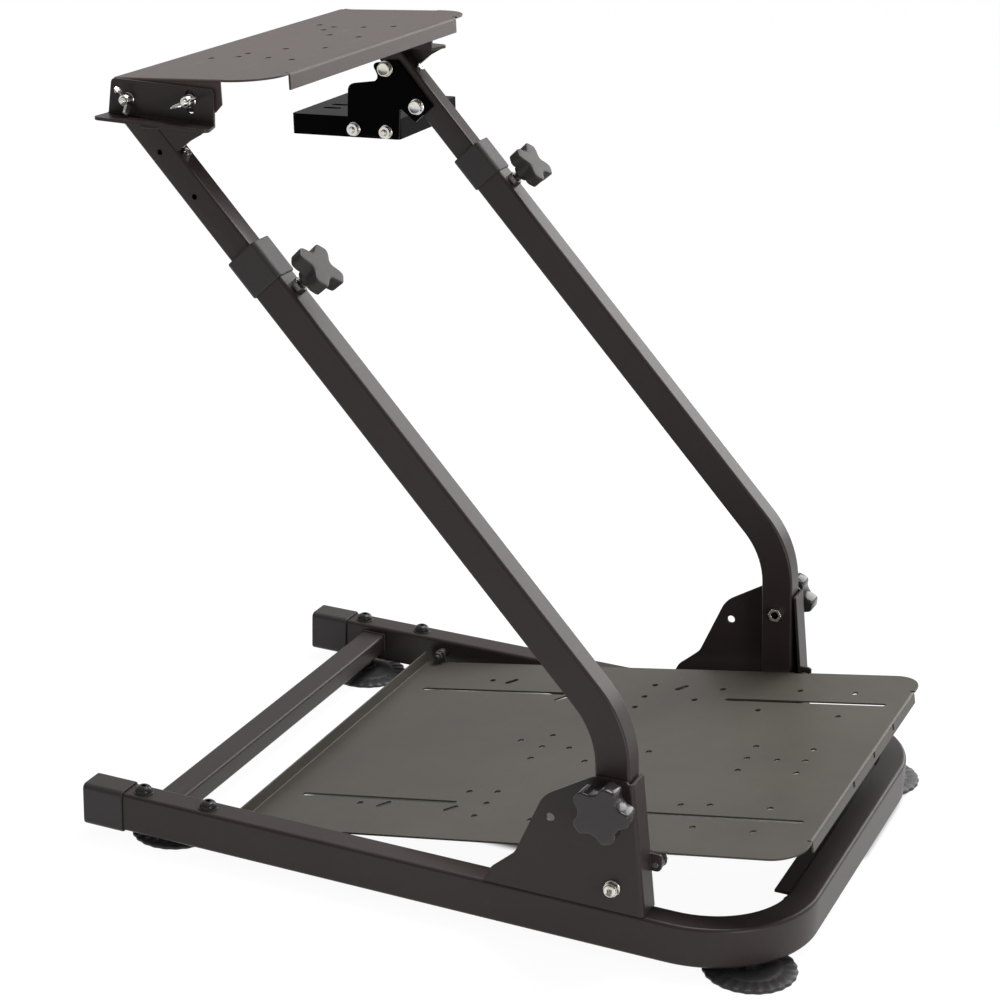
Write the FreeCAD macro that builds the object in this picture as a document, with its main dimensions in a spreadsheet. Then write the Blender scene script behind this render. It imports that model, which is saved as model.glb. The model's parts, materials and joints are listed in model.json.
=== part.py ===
"""Free-standing steel stand for a driving-game wheel, its pedals and a gear shifter.

Millimetres, +Z up, +X from the seat towards the pedals, +Y to the shifter's side.
"Near" pieces lie on the -Y side and "far" pieces on the +Y side.
Sizes are first written in the stand's own layout, where x starts at the rear face of
the tube caps, y is 0 on the centre plane and z is 0 under the base tube.  Every piece is
then shifted so that the origin lies on the floor under the middle of the whole stand.
"""

import FreeCAD, Part
import math
import os

import Sketcher

Vector = FreeCAD.Vector

doc = FreeCAD.newDocument("WheelStand")
sheet = doc.addObject("Spreadsheet::Sheet", "Sizes")
pieces = []


class Size:
    """A length, angle or ratio together with the expression that ties it to the sheet."""

    def __init__(self, number, words):
        self.number = float(number)
        self.words = words

    def __add__(self, other):
        other = as_size(other)
        return Size(self.number + other.number, f"({self.words} + {other.words})")

    def __sub__(self, other):
        other = as_size(other)
        return Size(self.number - other.number, f"({self.words} - {other.words})")

    def __mul__(self, other):
        other = as_size(other)
        return Size(self.number * other.number, f"({self.words} * {other.words})")

    def __truediv__(self, other):
        other = as_size(other)
        return Size(self.number / other.number, f"({self.words} / {other.words})")

    def __neg__(self):
        return Size(-self.number, f"(0 - {self.words})")

    def __radd__(self, other):
        return as_size(other) + self

    def __rsub__(self, other):
        return as_size(other) - self

    def __rmul__(self, other):
        return as_size(other) * self


def as_size(value):
    """A plain number becomes a Size that no sheet cell drives."""
    if isinstance(value, Size):
        return value
    return Size(value, f"({value})")


def sin(angle):
    angle = as_size(angle)
    return Size(math.sin(math.radians(angle.number)), f"sin({angle.words} * 1 deg)")


def cos(angle):
    angle = as_size(angle)
    return Size(math.cos(math.radians(angle.number)), f"cos({angle.words} * 1 deg)")


def tan(angle):
    return sin(angle) / cos(angle)


def size(name, number, note):
    """Write one driving size to the sheet and return it."""
    row = size.row = getattr(size, "row", 0) + 1
    sheet.set(f"A{row}", name)
    sheet.set(f"B{row}", str(number))
    sheet.set(f"C{row}", note)
    sheet.setAlias(f"B{row}", name)
    return Size(number, f"Sizes.{name}")


# Base frame
base_width = size("base_width", 510, "over the two rails")
base_length = size("base_length", 716, "rear face of the caps to the front of the front tube")
rail_high = size("rail_high", 40, "base tube, height")
rail_wide = size("rail_wide", 28, "base tube, width")
rail_wall = size("rail_wall", 1.3, "base tube, wall")
rail_round = size("rail_round", 3.5, "base tube, outer corner radius")
corner_bend = size("corner_bend", 95, "bend of the base tube, on its centre line")
cross_wide = size("cross_wide", 28, "rear cross tube, width")
cross_high = size("cross_high", 22, "rear cross tube, height")
cross_middle = size("cross_middle", 78, "rear cross tube, centre from the rear")
cross_drop = size("cross_drop", 8, "rear cross tube, top below the rail top")
cap_length = size("cap_length", 44, "end cap, length")
cap_wall = size("cap_wall", 2, "end cap, wall")

# Feet
foot_drop = size("foot_drop", 11, "rail bottom to the floor")
foot_span = size("foot_span", 88, "foot, diameter")
foot_rim = size("foot_rim", 5, "foot, thickness of its disc")
foot_nut = size("foot_nut", 17, "foot, nut on its stud, over the corners")
ledge_wide = size("ledge_wide", 15, "ledge inside the front tube, width")
ledge_drop = size("ledge_drop", 3, "ledge inside the front tube, top below the tube's top")
ledge_thick = size("ledge_thick", 3, "ledge inside the front tube, sheet")
foot_inset = size("foot_inset", 44, "rear feet, centre in from the rail's outer face")
stud_span = size("stud_span", 8, "foot stud and clamp screws, diameter")

# Arm brackets
plate_thick = size("plate_thick", 3, "arm brackets and wheel brackets, sheet")
pivot_reach = size("pivot_reach", 554.5, "arm pivot, from the rear")
pivot_rise = size("pivot_rise", 63.5, "arm pivot, above the rail bottom")
lock_reach = size("lock_reach", 84, "lock holes, from the pivot")
fold_angle = size("fold_angle", 44.5, "arms, swing from use to folded")
web_foot = size("web_foot", 586, "front web of the bracket at the rail, from the rear")
web_lean = size("web_lean", 7.5, "front web, lean towards the rear")
bracket_high = size("bracket_high", 130, "arm bracket, above the rail")
bracket_length = size("bracket_length", 158, "arm bracket, along the rail")
bracket_bend = size("bracket_bend", 4.5, "arm bracket, outer bend radius")
ear_bolt = size("ear_bolt", 4.5, "front pedal bolt, in front of the bracket's web")

# Arms
arm_deep = size("arm_deep", 33, "outer arm tube, depth seen from the side")
arm_wide = size("arm_wide", 26, "outer arm tube, width across the stand")
arm_wall = size("arm_wall", 1.3, "outer arm tube, wall")
arm_round = size("arm_round", 3, "outer arm tube, outer corner radius")
arm_gap = size("arm_gap", 0.3, "arm to bracket plate")
arm_foot = size("arm_foot", 8, "arm tube below its pivot")
arm_rise = size("arm_rise", 152.5, "pivot to the bend")
arm_bend = size("arm_bend", 98, "bend radius on the centre line")
foot_lean = size("foot_lean", 3.5, "lower arm, lean towards the rear")
arm_lean = size("arm_lean", 43.7, "upper arm, lean towards the rear")
arm_run = size("arm_run", 526, "bend to the open end of the outer tube")
collar_length = size("collar_length", 38, "plastic collar, length")
collar_wall = size("collar_wall", 2, "plastic collar, wall")
collar_lip = size("collar_lip", 3, "plastic collar, lip over the tube's end")

# Inner arms
inner_deep = size("inner_deep", 26, "inner arm tube, depth")
inner_wide = size("inner_wide", 21.6, "inner arm tube, width")
inner_wall = size("inner_wall", 1.2, "inner arm tube, wall")
inner_round = size("inner_round", 2.5, "inner arm tube, outer corner radius")
inner_play = size("inner_play", 0.5, "inner arm to the outer arm's rear wall")
inner_hidden = size("inner_hidden", 240, "inner arm, length inside the outer arm")
adjust_hole = size("adjust_hole", 8, "adjusting holes, diameter")
adjust_pitch = size("adjust_pitch", 30, "adjusting holes, spacing")

# Wheel bracket and wheel plate
leg_top = size("leg_top", 703, "wheel bracket, top of its level leg above the rail bottom")
leg_rear = size("leg_rear", 32, "wheel bracket, rear end from the rear")
leg_length = size("leg_length", 112, "wheel bracket, length")
leg_rise = size("leg_rise", 31, "wheel bracket, height of its upright leg")
leg_past = size("leg_past", 0.8, "wheel bracket, its level leg past the inner arm")
desk_inset = size("desk_inset", 32, "wheel plate, side edges in from the rails' outer faces")
desk_deep = size("desk_deep", 153, "wheel plate, rear to front")
desk_thick = size("desk_thick", 2, "wheel plate, sheet")
desk_pitch = size("desk_pitch", 4.4, "wheel plate, front edge raised")
desk_skirt = size("desk_skirt", 29, "wheel plate, side flange depth")
desk_side = size("desk_side", 109, "wheel plate, side flange length")
desk_lip = size("desk_lip", 15.5, "wheel plate, front flange depth")
desk_lip_half = size("desk_lip_half", 176, "wheel plate, half length of the front flange")
desk_corner = size("desk_corner", 40, "wheel plate, front corner radius")
desk_bend = size("desk_bend", 3, "wheel plate, outer bend radius")
desk_gap = size("desk_gap", 0.3, "wheel plate to wheel bracket")
wing_inset = size("wing_inset", 16, "rear wing bolt, from the plate's rear edge")
wing_drop = size("wing_drop", 18.5, "wing bolts, below the plate")
wing_space = size("wing_space", 63, "front wing bolt, in front of the rear one")
wing_span = size("wing_span", 6, "wing bolts, diameter")
tilt_down = size("tilt_down", 7, "wheel plate, front edge lowered at most")
tilt_up = size("tilt_up", 5, "wheel plate, front edge raised at most")
desk_hole = size("desk_hole", 6.5, "wheel plate, bolt holes")

# Shifter mount
tray_rear = size("tray_rear", 26, "shifter tray, behind the rear face of the caps")
tray_length = size("tray_length", 128, "shifter tray, rear to front")
tray_width = size("tray_width", 145, "shifter tray, width")
tray_rise = size("tray_rise", 617, "shifter tray, top of its rear edge above the rail bottom")
tray_deep = size("tray_deep", 22, "shifter tray, flange depth")
tray_pitch = size("tray_pitch", 3, "shifter tray, front edge raised")
tray_thick = size("tray_thick", 2.5, "shifter tray, sheet")
tray_corner = size("tray_corner", 7, "shifter tray, lower corner radius")
hanger_thick = size("hanger_thick", 4, "shifter hanger, sheet")
hanger_tail = size("hanger_tail", 43, "shifter hanger, rear edge of its tail from the rear")
tail_wide = size("tail_wide", 60.5, "shifter hanger, width of its tail")
strip_long = size("strip_long", 77, "shifter hanger, length of its strip")
strip_clear = size("strip_clear", 6, "shifter hanger, strip below the wheel bracket")
strip_front = size("strip_front", 2.5, "shifter hanger, front edge off the arm's centre line")
strip_back = size("strip_back", -25, "shifter hanger, rear edge off the arm's centre line")

# Pedal plate
pedal_gap = size("pedal_gap", 8, "pedal plate to the rails")
pedal_length = size("pedal_length", 573, "pedal plate, along its slope")
pedal_rear = size("pedal_rear", 149, "pedal plate, rear edge from the rear")
pedal_rise = size("pedal_rise", 14, "pedal plate, top of its rear edge above the rail bottom")
pedal_pitch = size("pedal_pitch", 9.8, "pedal plate, slope")
pedal_thick = size("pedal_thick", 2, "pedal plate, sheet")
pedal_heel = size("pedal_heel", 12, "pedal plate, upturned rear flange")
pedal_lip = size("pedal_lip", 12, "pedal plate, front flange depth")
pedal_bend = size("pedal_bend", 3, "pedal plate, outer bend radius")
pedal_lip_half = size("pedal_lip_half", 177, "pedal plate, half length of the front flange")
pedal_corner = size("pedal_corner", 30, "pedal plate, front corner radius")
pedal_hole = size("pedal_hole", 6.5, "pedal plate, bolt holes")
slot_wide = size("slot_wide", 6, "pedal plate, long slots, width")
slot_apart = size("slot_apart", 140, "pedal plate, long slots, from the centre plane")
tab_long = size("tab_long", 14, "pedal plate, side tabs, length")
tab_hole = size("tab_hole", 8, "pedal plate, side tabs, holes off the sheet's top")
tab_edge = size("tab_edge", 6, "pedal plate, side tabs, corner radius")
rear_tab = size("rear_tab", 18, "pedal plate, rear tabs, from the rear edge")
pedal_screw = size("pedal_screw", 6, "pedal plate bolts, diameter")
pedal_nut = size("pedal_nut", 11.5, "pedal plate bolts, nut over the corners")

# Star knobs
knob_span = size("knob_span", 55, "star knob, diameter over its lobes")
knob_thick = size("knob_thick", 15, "star knob, thickness")
knob_lobe = size("knob_lobe", 16, "star knob, width of a lobe")
knob_hub = size("knob_hub", 30, "star knob, diameter of its middle")
knob_neck = size("knob_neck", 12, "star knob, length of its neck")
knob_lobes = size("knob_lobes", 5, "star knob, lobes")
nut_high = size("nut_high", 6.5, "weld nuts, height")
nut_span = size("nut_span", 15, "weld nuts, over their corners")
screw_play = size("screw_play", 0.05, "turning screws and pins, clearance all round")
knob_below = size("knob_below", 16, "height knob, below the collar")
knob_tip = size("knob_tip", 0.3, "height knob screw to the inner arm")

# Places worked out from the sizes
half_width = base_width / 2
rail_middle = half_width - rail_wide / 2
rail_inner = half_width - rail_wide
tube_start = cap_wall
front_middle = base_length - rail_wide / 2
arm_outer = half_width - plate_thick - arm_gap
arm_middle = arm_outer - arm_wide / 2
arm_inner = arm_outer - arm_wide
bend_x = pivot_reach - arm_rise * sin(foot_lean)
bend_z = pivot_rise + arm_rise * cos(foot_lean)
inner_shift = inner_deep / 2 - arm_deep / 2 + arm_wall + inner_play
knob_head = knob_neck + knob_thick
front_gap = arm_deep / 2 - inner_deep / 2 - inner_shift
lock_face = half_width
lock_reach_out = lock_face + nut_high / 2 + knob_head
desk_half = half_width - desk_inset
pedal_half = rail_inner - pedal_gap
desk_rear_z = leg_top + leg_rise
desk_rear_x = leg_rear + 4
hanger_face = arm_middle - inner_wide / 2
tray_near = hanger_face
knob_along = arm_run + collar_lip - collar_length - knob_below
strip_top = (leg_top - plate_thick - bend_z) / cos(arm_lean) - strip_clear
strip_low = strip_top - strip_long
tray_far = tray_near + tray_width

# The front pedal bolt is level with the tab's hole and clear of the bracket's leaning web
slope, lean = tan(pedal_pitch), tan(web_lean)
front_bolt_x = (web_foot + ear_bolt + lean * (
    rail_high - pedal_rise + pedal_rear * slope + tab_hole / cos(pedal_pitch))) / (1 + lean * slope)
front_tab = (front_bolt_x - tab_hole * sin(pedal_pitch) - pedal_rear) / cos(pedal_pitch)

corner_x = front_middle - corner_bend * (1 - math.sqrt(0.5))
corner_y = rail_middle - corner_bend * (1 - math.sqrt(0.5))

# The origin lies on the floor, under the middle of the stand's overall box
middle_x = (corner_x + foot_span / 2 - tray_rear) / 2
middle_y = (tray_far - lock_reach_out) / 2


def on_arm(along, out):
    """Point in the side view: so far up from the bend, so far out from the arm's centre line."""
    x = bend_x - along * sin(arm_lean) + out * cos(arm_lean)
    z = bend_z + along * cos(arm_lean) + out * sin(arm_lean)
    return x, z


def bind(thing, path, value):
    """Tie one property to the sheet."""
    thing.setExpression(path, as_size(value).words)


def place(thing, x, y, z, turn=0, axis=(0, 1, 0)):
    """Put a piece in the stand: its own origin at x, y, z, turned about one axis."""
    thing.Placement = FreeCAD.Placement(
        Vector(0, 0, 0), FreeCAD.Rotation(Vector(*axis), as_size(turn).number)
    )
    bind(thing, "Placement.Base.x", x - middle_x)
    bind(thing, "Placement.Base.y", y - middle_y)
    bind(thing, "Placement.Base.z", z + foot_drop)
    if isinstance(turn, Size):
        thing.setExpression("Placement.Rotation.Angle", f"{turn.words} * 1 deg")


def new_piece(name):
    """A PartDesign body that becomes one node."""
    body = doc.addObject("PartDesign::Body", name)
    body.Label = name
    pieces.append(body)
    return body


def origin_part(body, role):
    return next(item for item in body.Origin.OriginFeatures if item.Role == role)


def new_sketch(body, role, offset=0):
    """A sketch on one of the body's own planes, moved along the plane's normal."""
    sketch = body.newObject("Sketcher::SketchObject", "Sketch")
    sketch.AttachmentSupport = [(origin_part(body, role), "")]
    sketch.MapMode = "FlatFace"
    sketch.AttachmentOffset = FreeCAD.Placement(
        Vector(0, 0, as_size(offset).number), FreeCAD.Rotation()
    )
    bind(sketch, "AttachmentOffset.Base.z", offset)
    return sketch


def hold(sketch, kind, *where):
    """Add one constraint; the last value may be a Size that stays tied to the sheet."""
    value = where[-1]
    if isinstance(value, Size):
        index = sketch.addConstraint(Sketcher.Constraint(kind, *where[:-1], value.number))
        if "Sizes." in value.words:
            sketch.setExpression(f"Constraints[{index}]", value.words)
        return
    sketch.addConstraint(Sketcher.Constraint(kind, *where))


def hold_point(sketch, geometry, point, x, y):
    hold(sketch, "DistanceX", -1, 1, geometry, point, as_size(x))
    hold(sketch, "DistanceY", -1, 1, geometry, point, as_size(y))


def draw_line(sketch, corners, closed=True):
    """Straight runs through corners (x, y) or (x, y, radius), joined by tangent arcs."""
    points = [Vector(as_size(c[0]).number, as_size(c[1]).number, 0) for c in corners]
    count = len(corners)
    runs = count if closed else count - 1
    arrive, leave, bend = [], [], []
    for i, corner in enumerate(corners):
        here = points[i]
        rounded = len(corner) == 3 and (closed or 0 < i < count - 1)
        if not rounded:
            arrive.append(here)
            leave.append(here)
            bend.append(None)
            continue
        back = (points[i - 1] - here).normalize()
        ahead = (points[(i + 1) % count] - here).normalize()
        half = back.getAngle(ahead) / 2
        radius = as_size(corner[2])
        reach = radius.number / math.tan(half)
        centre = here + (back + ahead).normalize() * (radius.number / math.sin(half))
        arrive.append(here + back * reach)
        leave.append(here + ahead * reach)
        bend.append((centre, radius, back.cross(ahead).z < 0))
    lines = []
    for i in range(runs):
        segment = Part.LineSegment(leave[i], arrive[(i + 1) % count])
        lines.append(sketch.addGeometry(segment, False))
    for i, corner in enumerate(corners):
        before = lines[i - 1] if closed or i > 0 else None
        after = lines[i] if i < runs else None
        if bend[i] is None:
            if before is not None and after is not None:
                hold(sketch, "Coincident", before, 2, after, 1)
            if after is not None:
                hold_point(sketch, after, 1, corner[0], corner[1])
            else:
                hold_point(sketch, before, 2, corner[0], corner[1])
            continue
        centre, radius, left = bend[i]
        first, last = (arrive[i], leave[i]) if left else (leave[i], arrive[i])
        circle = Part.Circle(centre, Vector(0, 0, 1), radius.number)
        angles = [math.atan2(p.y - centre.y, p.x - centre.x) for p in (first, last)]
        arc = sketch.addGeometry(Part.ArcOfCircle(circle, *angles), False)
        start, end = (1, 2) if left else (2, 1)
        hold(sketch, "Tangent", before, 2, arc, start)
        hold(sketch, "Tangent", arc, end, after, 1)
        hold(sketch, "Radius", arc, radius)
        mark = sketch.addGeometry(Part.Point(points[i]), True)
        hold(sketch, "PointOnObject", mark, 1, before)
        hold(sketch, "PointOnObject", mark, 1, after)
        hold_point(sketch, mark, 1, corner[0], corner[1])


def draw_box(sketch, x, y, wide, high, radius=None):
    """A rectangle centred on x, y."""
    left, right = x - wide / 2, x + wide / 2
    low, top = y - high / 2, y + high / 2
    extra = () if radius is None else (radius,)
    draw_line(sketch, [(left, low, *extra), (right, low, *extra),
                       (right, top, *extra), (left, top, *extra)])


def draw_circle(sketch, x, y, span):
    centre = Vector(as_size(x).number, as_size(y).number, 0)
    radius = as_size(span) / 2
    circle = sketch.addGeometry(Part.Circle(centre, Vector(0, 0, 1), radius.number), False)
    hold_point(sketch, circle, 3, x, y)
    hold(sketch, "Radius", circle, radius)


def draw_slot(sketch, ends, wide):
    """A slot with round ends about two centres."""
    centres = [Vector(as_size(x).number, as_size(y).number, 0) for x, y in ends]
    radius = as_size(wide) / 2
    along = (centres[1] - centres[0]).normalize()
    side = Vector(-along.y, along.x, 0) * radius.number
    heading = math.atan2(along.y, along.x)
    quarter = math.pi / 2
    arcs = []
    for centre, start in ((centres[0], heading + quarter), (centres[1], heading - quarter)):
        circle = Part.Circle(centre, Vector(0, 0, 1), radius.number)
        arcs.append(sketch.addGeometry(Part.ArcOfCircle(circle, start, start + math.pi), False))
    low = sketch.addGeometry(Part.LineSegment(centres[0] - side, centres[1] - side), False)
    high = sketch.addGeometry(Part.LineSegment(centres[1] + side, centres[0] + side), False)
    hold(sketch, "Tangent", arcs[0], 2, low, 1)
    hold(sketch, "Tangent", low, 2, arcs[1], 1)
    hold(sketch, "Tangent", arcs[1], 2, high, 1)
    hold(sketch, "Tangent", high, 2, arcs[0], 1)
    hold(sketch, "Radius", arcs[0], radius)
    hold(sketch, "Equal", arcs[0], arcs[1])
    for arc, (x, y) in zip(arcs, ends):
        hold_point(sketch, arc, 3, x, y)


def draw_polygon(sketch, span, sides, x=0, y=0):
    """A regular polygon by its diameter over the corners."""
    radius = as_size(span) / 2
    corners = []
    for i in range(sides):
        turn = math.radians(360 * i / sides)
        corners.append((as_size(x) + radius * math.cos(turn), as_size(y) + radius * math.sin(turn)))
    draw_line(sketch, corners)


# Which way a pad grows from its sketch so that it runs towards higher coordinates
GROWS_BACKWARDS = {"XY_Plane": False, "XZ_Plane": True, "YZ_Plane": False}
NORMAL_SIGN = {"XY_Plane": 1, "XZ_Plane": -1, "YZ_Plane": 1}


def pad(body, role, start, thick, draw):
    """Add material from the coordinate start to start + thick, square to one plane."""
    sketch = new_sketch(body, role, as_size(start) * NORMAL_SIGN[role])
    draw(sketch)
    feature = body.newObject("PartDesign::Pad", "Pad")
    feature.Profile = sketch
    feature.Reversed = GROWS_BACKWARDS[role]
    bind(feature, "Length", thick)
    return feature


def cut(body, role, start, thick, draw):
    """Take material away from the coordinate start to start + thick."""
    doc.recompute()
    before = body.Shape.Volume
    sketch = new_sketch(body, role, as_size(start) * NORMAL_SIGN[role])
    draw(sketch)
    feature = body.newObject("PartDesign::Pocket", "Pocket")
    feature.Profile = sketch
    feature.Reversed = not GROWS_BACKWARDS[role]
    bind(feature, "Length", thick)
    doc.recompute()
    if body.Shape.Volume >= before:
        raise RuntimeError(f"a cut in {body.Label} takes nothing away")
    return feature


def sweep(body, path_role, path, profile_role, profile_at, profile):
    """Sweep a section along a path of straight runs and arcs."""
    spine = new_sketch(body, path_role)
    draw_line(spine, path, closed=False)
    section = new_sketch(body, profile_role, profile_at)
    profile(section)
    doc.recompute()
    feature = body.newObject("PartDesign::AdditivePipe", "Pipe")
    feature.Profile = section
    feature.Spine = (spine, [f"Edge{i + 1}" for i in range(len(spine.Shape.Edges))])
    return feature


def turned(body, corners):
    """A solid of revolution about the body's Z axis; corners are (radius, height)."""
    sketch = new_sketch(body, "XZ_Plane")
    draw_line(sketch, corners)
    feature = body.newObject("PartDesign::Revolution", "Revolution")
    feature.Profile = sketch
    feature.ReferenceAxis = (sketch, ["V_Axis"])
    feature.Angle = 360
    return feature


def round_edges(body, radius, wanted):
    """Fillet the edges of the body that the test picks out."""
    doc.recompute()
    tip = body.Tip
    names = [f"Edge{i + 1}" for i, edge in enumerate(tip.Shape.Edges) if wanted(edge)]
    if not names:
        raise RuntimeError(f"no edge to round on {body.Label}")
    feature = body.newObject("PartDesign::Fillet", "Fillet")
    feature.Base = (tip, names)
    bind(feature, "Radius", radius)
    return feature


SIDES = (("near", -1), ("far", 1))


def low_side(side, inner, outer):
    """The lower y of a piece that lies between two distances from the centre plane."""
    return -outer if side < 0 else inner


def make_base_tube():
    body = new_piece("base_tube")

    def section(sketch):
        draw_box(sketch, -rail_middle, rail_high / 2, rail_wide, rail_high, rail_round)
        draw_box(sketch, -rail_middle, rail_high / 2, rail_wide - 2 * rail_wall,
                 rail_high - 2 * rail_wall)

    path = [(tube_start, -rail_middle), (front_middle, -rail_middle, corner_bend),
            (front_middle, rail_middle, corner_bend), (tube_start, rail_middle)]
    sweep(body, "XY_Plane", path, "YZ_Plane", tube_start, section)

    def ledge(sketch):
        inner = base_length - rail_wide
        draw_box(sketch, inner + (rail_wall - ledge_wide) / 2, 0, ledge_wide + rail_wall,
                 2 * (rail_middle - corner_bend))

    pad(body, "XY_Plane", rail_high - ledge_drop - ledge_thick, ledge_thick, ledge)
    place(body, 0, 0, 0)


def make_cross_tube():
    body = new_piece("rear_cross_tube")
    top = rail_high - cross_drop

    def section(sketch):
        middle = top - cross_high / 2
        draw_box(sketch, cross_middle, middle, cross_wide, cross_high, rail_round)
        draw_box(sketch, cross_middle, middle, cross_wide - 2 * rail_wall,
                 cross_high - 2 * rail_wall)

    pad(body, "XZ_Plane", -rail_inner, 2 * rail_inner, section)
    place(body, 0, 0, 0)


def make_end_cap(name, side):
    body = new_piece(f"end_cap_{name}")
    wide = rail_wide + 2 * cap_wall
    high = rail_high + 2 * cap_wall

    def outside(sketch):
        draw_box(sketch, 0, rail_high / 2, wide, high, rail_round + cap_wall)

    def inside(sketch):
        draw_box(sketch, 0, rail_high / 2, rail_wide, rail_high, rail_round)

    pad(body, "YZ_Plane", 0, cap_length, outside)
    cut(body, "YZ_Plane", cap_wall, cap_length, inside)
    place(body, 0, rail_middle * side, 0)


def make_foot(name, x, y, stud_top):
    """Wide thin foot with a nut on its stud; the stud reaches up to the tube."""
    body = new_piece(f"foot_{name}")
    rim = foot_span / 2
    stud = stud_span / 2
    top = stud_top + foot_drop
    turned(body, [(0, 0), (rim - 1, 0), (rim, 1), (rim, foot_rim - 2), (rim - 4, foot_rim),
                  (stud, foot_rim), (stud, top), (0, top)])
    pad(body, "XY_Plane", foot_rim, foot_drop - foot_rim,
        lambda sketch: draw_polygon(sketch, foot_nut, 6))
    place(body, x, y, -foot_drop)


def web_front(z):
    """Front face of the arm bracket's leaning web at one height."""
    return web_foot - (z - rail_high) * tan(web_lean)


def bracket_outline():
    """Side plate of the arm bracket, in the side view, up to the bend of its web."""
    rear = web_foot - bracket_length
    top = rail_high + bracket_high
    return [(rear, rail_high), (web_foot - bracket_bend, rail_high),
            (web_front(top) - bracket_bend, top, 3),
            (pivot_reach - 20, top + 1, 30), (pivot_reach - 70, top - 30, 30),
            (pivot_reach - 96, rail_high + 36, 20), (rear + 8, rail_high + 16, 8)]


def make_bracket(name, side):
    """Side plate outside the arm, bent round into a web in front of it."""
    body = new_piece(f"arm_bracket_{name}")
    face = low_side(side, half_width - plate_thick, half_width)
    web_top = rail_high + bracket_high - 2
    back, outer = web_foot - plate_thick, half_width * side
    behind = web_foot - 2 * bracket_bend
    plate_back = (half_width - plate_thick) * side

    def bend(sketch):
        draw_line(sketch, [(back, rail_inner * side), (web_foot, rail_inner * side),
                           (web_foot, outer, bracket_bend), (behind, outer), (behind, plate_back),
                           (back, plate_back, bracket_bend - plate_thick)])

    sweep(body, "XZ_Plane", [(web_foot, rail_high), (web_front(web_top), web_top)],
          "XY_Plane", rail_high, bend)
    pad(body, "XZ_Plane", face, plate_thick, lambda sketch: draw_line(sketch, bracket_outline()))
    _, hole_z = pedal_point(front_tab, -tab_hole)

    def ear(sketch):
        low, top = hole_z - tab_edge, hole_z + tab_edge + 5
        front = front_bolt_x + tab_edge
        draw_line(sketch, [(web_front(low) - 1, low), (front, low, tab_edge - 1), (front, top, 3),
                           (web_front(top) - 1, top)])

    pad(body, "XZ_Plane", low_side(side, rail_inner, rail_inner + plate_thick), plate_thick, ear)

    def holes(sketch):
        draw_circle(sketch, pivot_reach, pivot_rise, stud_span + 2 * screw_play)
        for turn in (foot_lean, foot_lean + fold_angle):
            x = pivot_reach - lock_reach * sin(turn)
            z = pivot_rise + lock_reach * cos(turn)
            draw_circle(sketch, x, z, stud_span + 2 * screw_play)

    cut(body, "XZ_Plane", face, plate_thick, holes)
    cut(body, "XZ_Plane", low_side(side, rail_inner, rail_inner + plate_thick), plate_thick,
        lambda sketch: draw_circle(sketch, front_bolt_x, hole_z, pedal_screw + 2 * screw_play))
    place(body, 0, 0, 0)


# Pedal plate places, measured along its slope from the rear edge
PEDAL_HOLES = {
    104: (-153, 170),
    205: (-114, 13),
    234: (-167, -138, -111, -29, 0, 29),
    264: (0,),
    293: (-168, -30, 111, 140, 172),
    350: (0, 136),
    371: (167,),
    426: (-118, 115),
    454: (-164, -115, -34, -5, 24, 170),
    485: (-6,),
    513: (-166, -115, -34, -5, 22, 106, 168),
}
LONG_SLOTS = ((36, 200), (385, 550))
SLANT_HOLES = ((130, -153), (203, -154), (127, 169), (203, 127), (325, 167))


def pedal_point(along, above):
    """Side-view point on the pedal plate, by its distance up the slope and off the sheet."""
    x = pedal_rear + along * cos(pedal_pitch) - above * sin(pedal_pitch)
    z = pedal_rise + along * sin(pedal_pitch) + above * cos(pedal_pitch)
    return x, z


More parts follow.
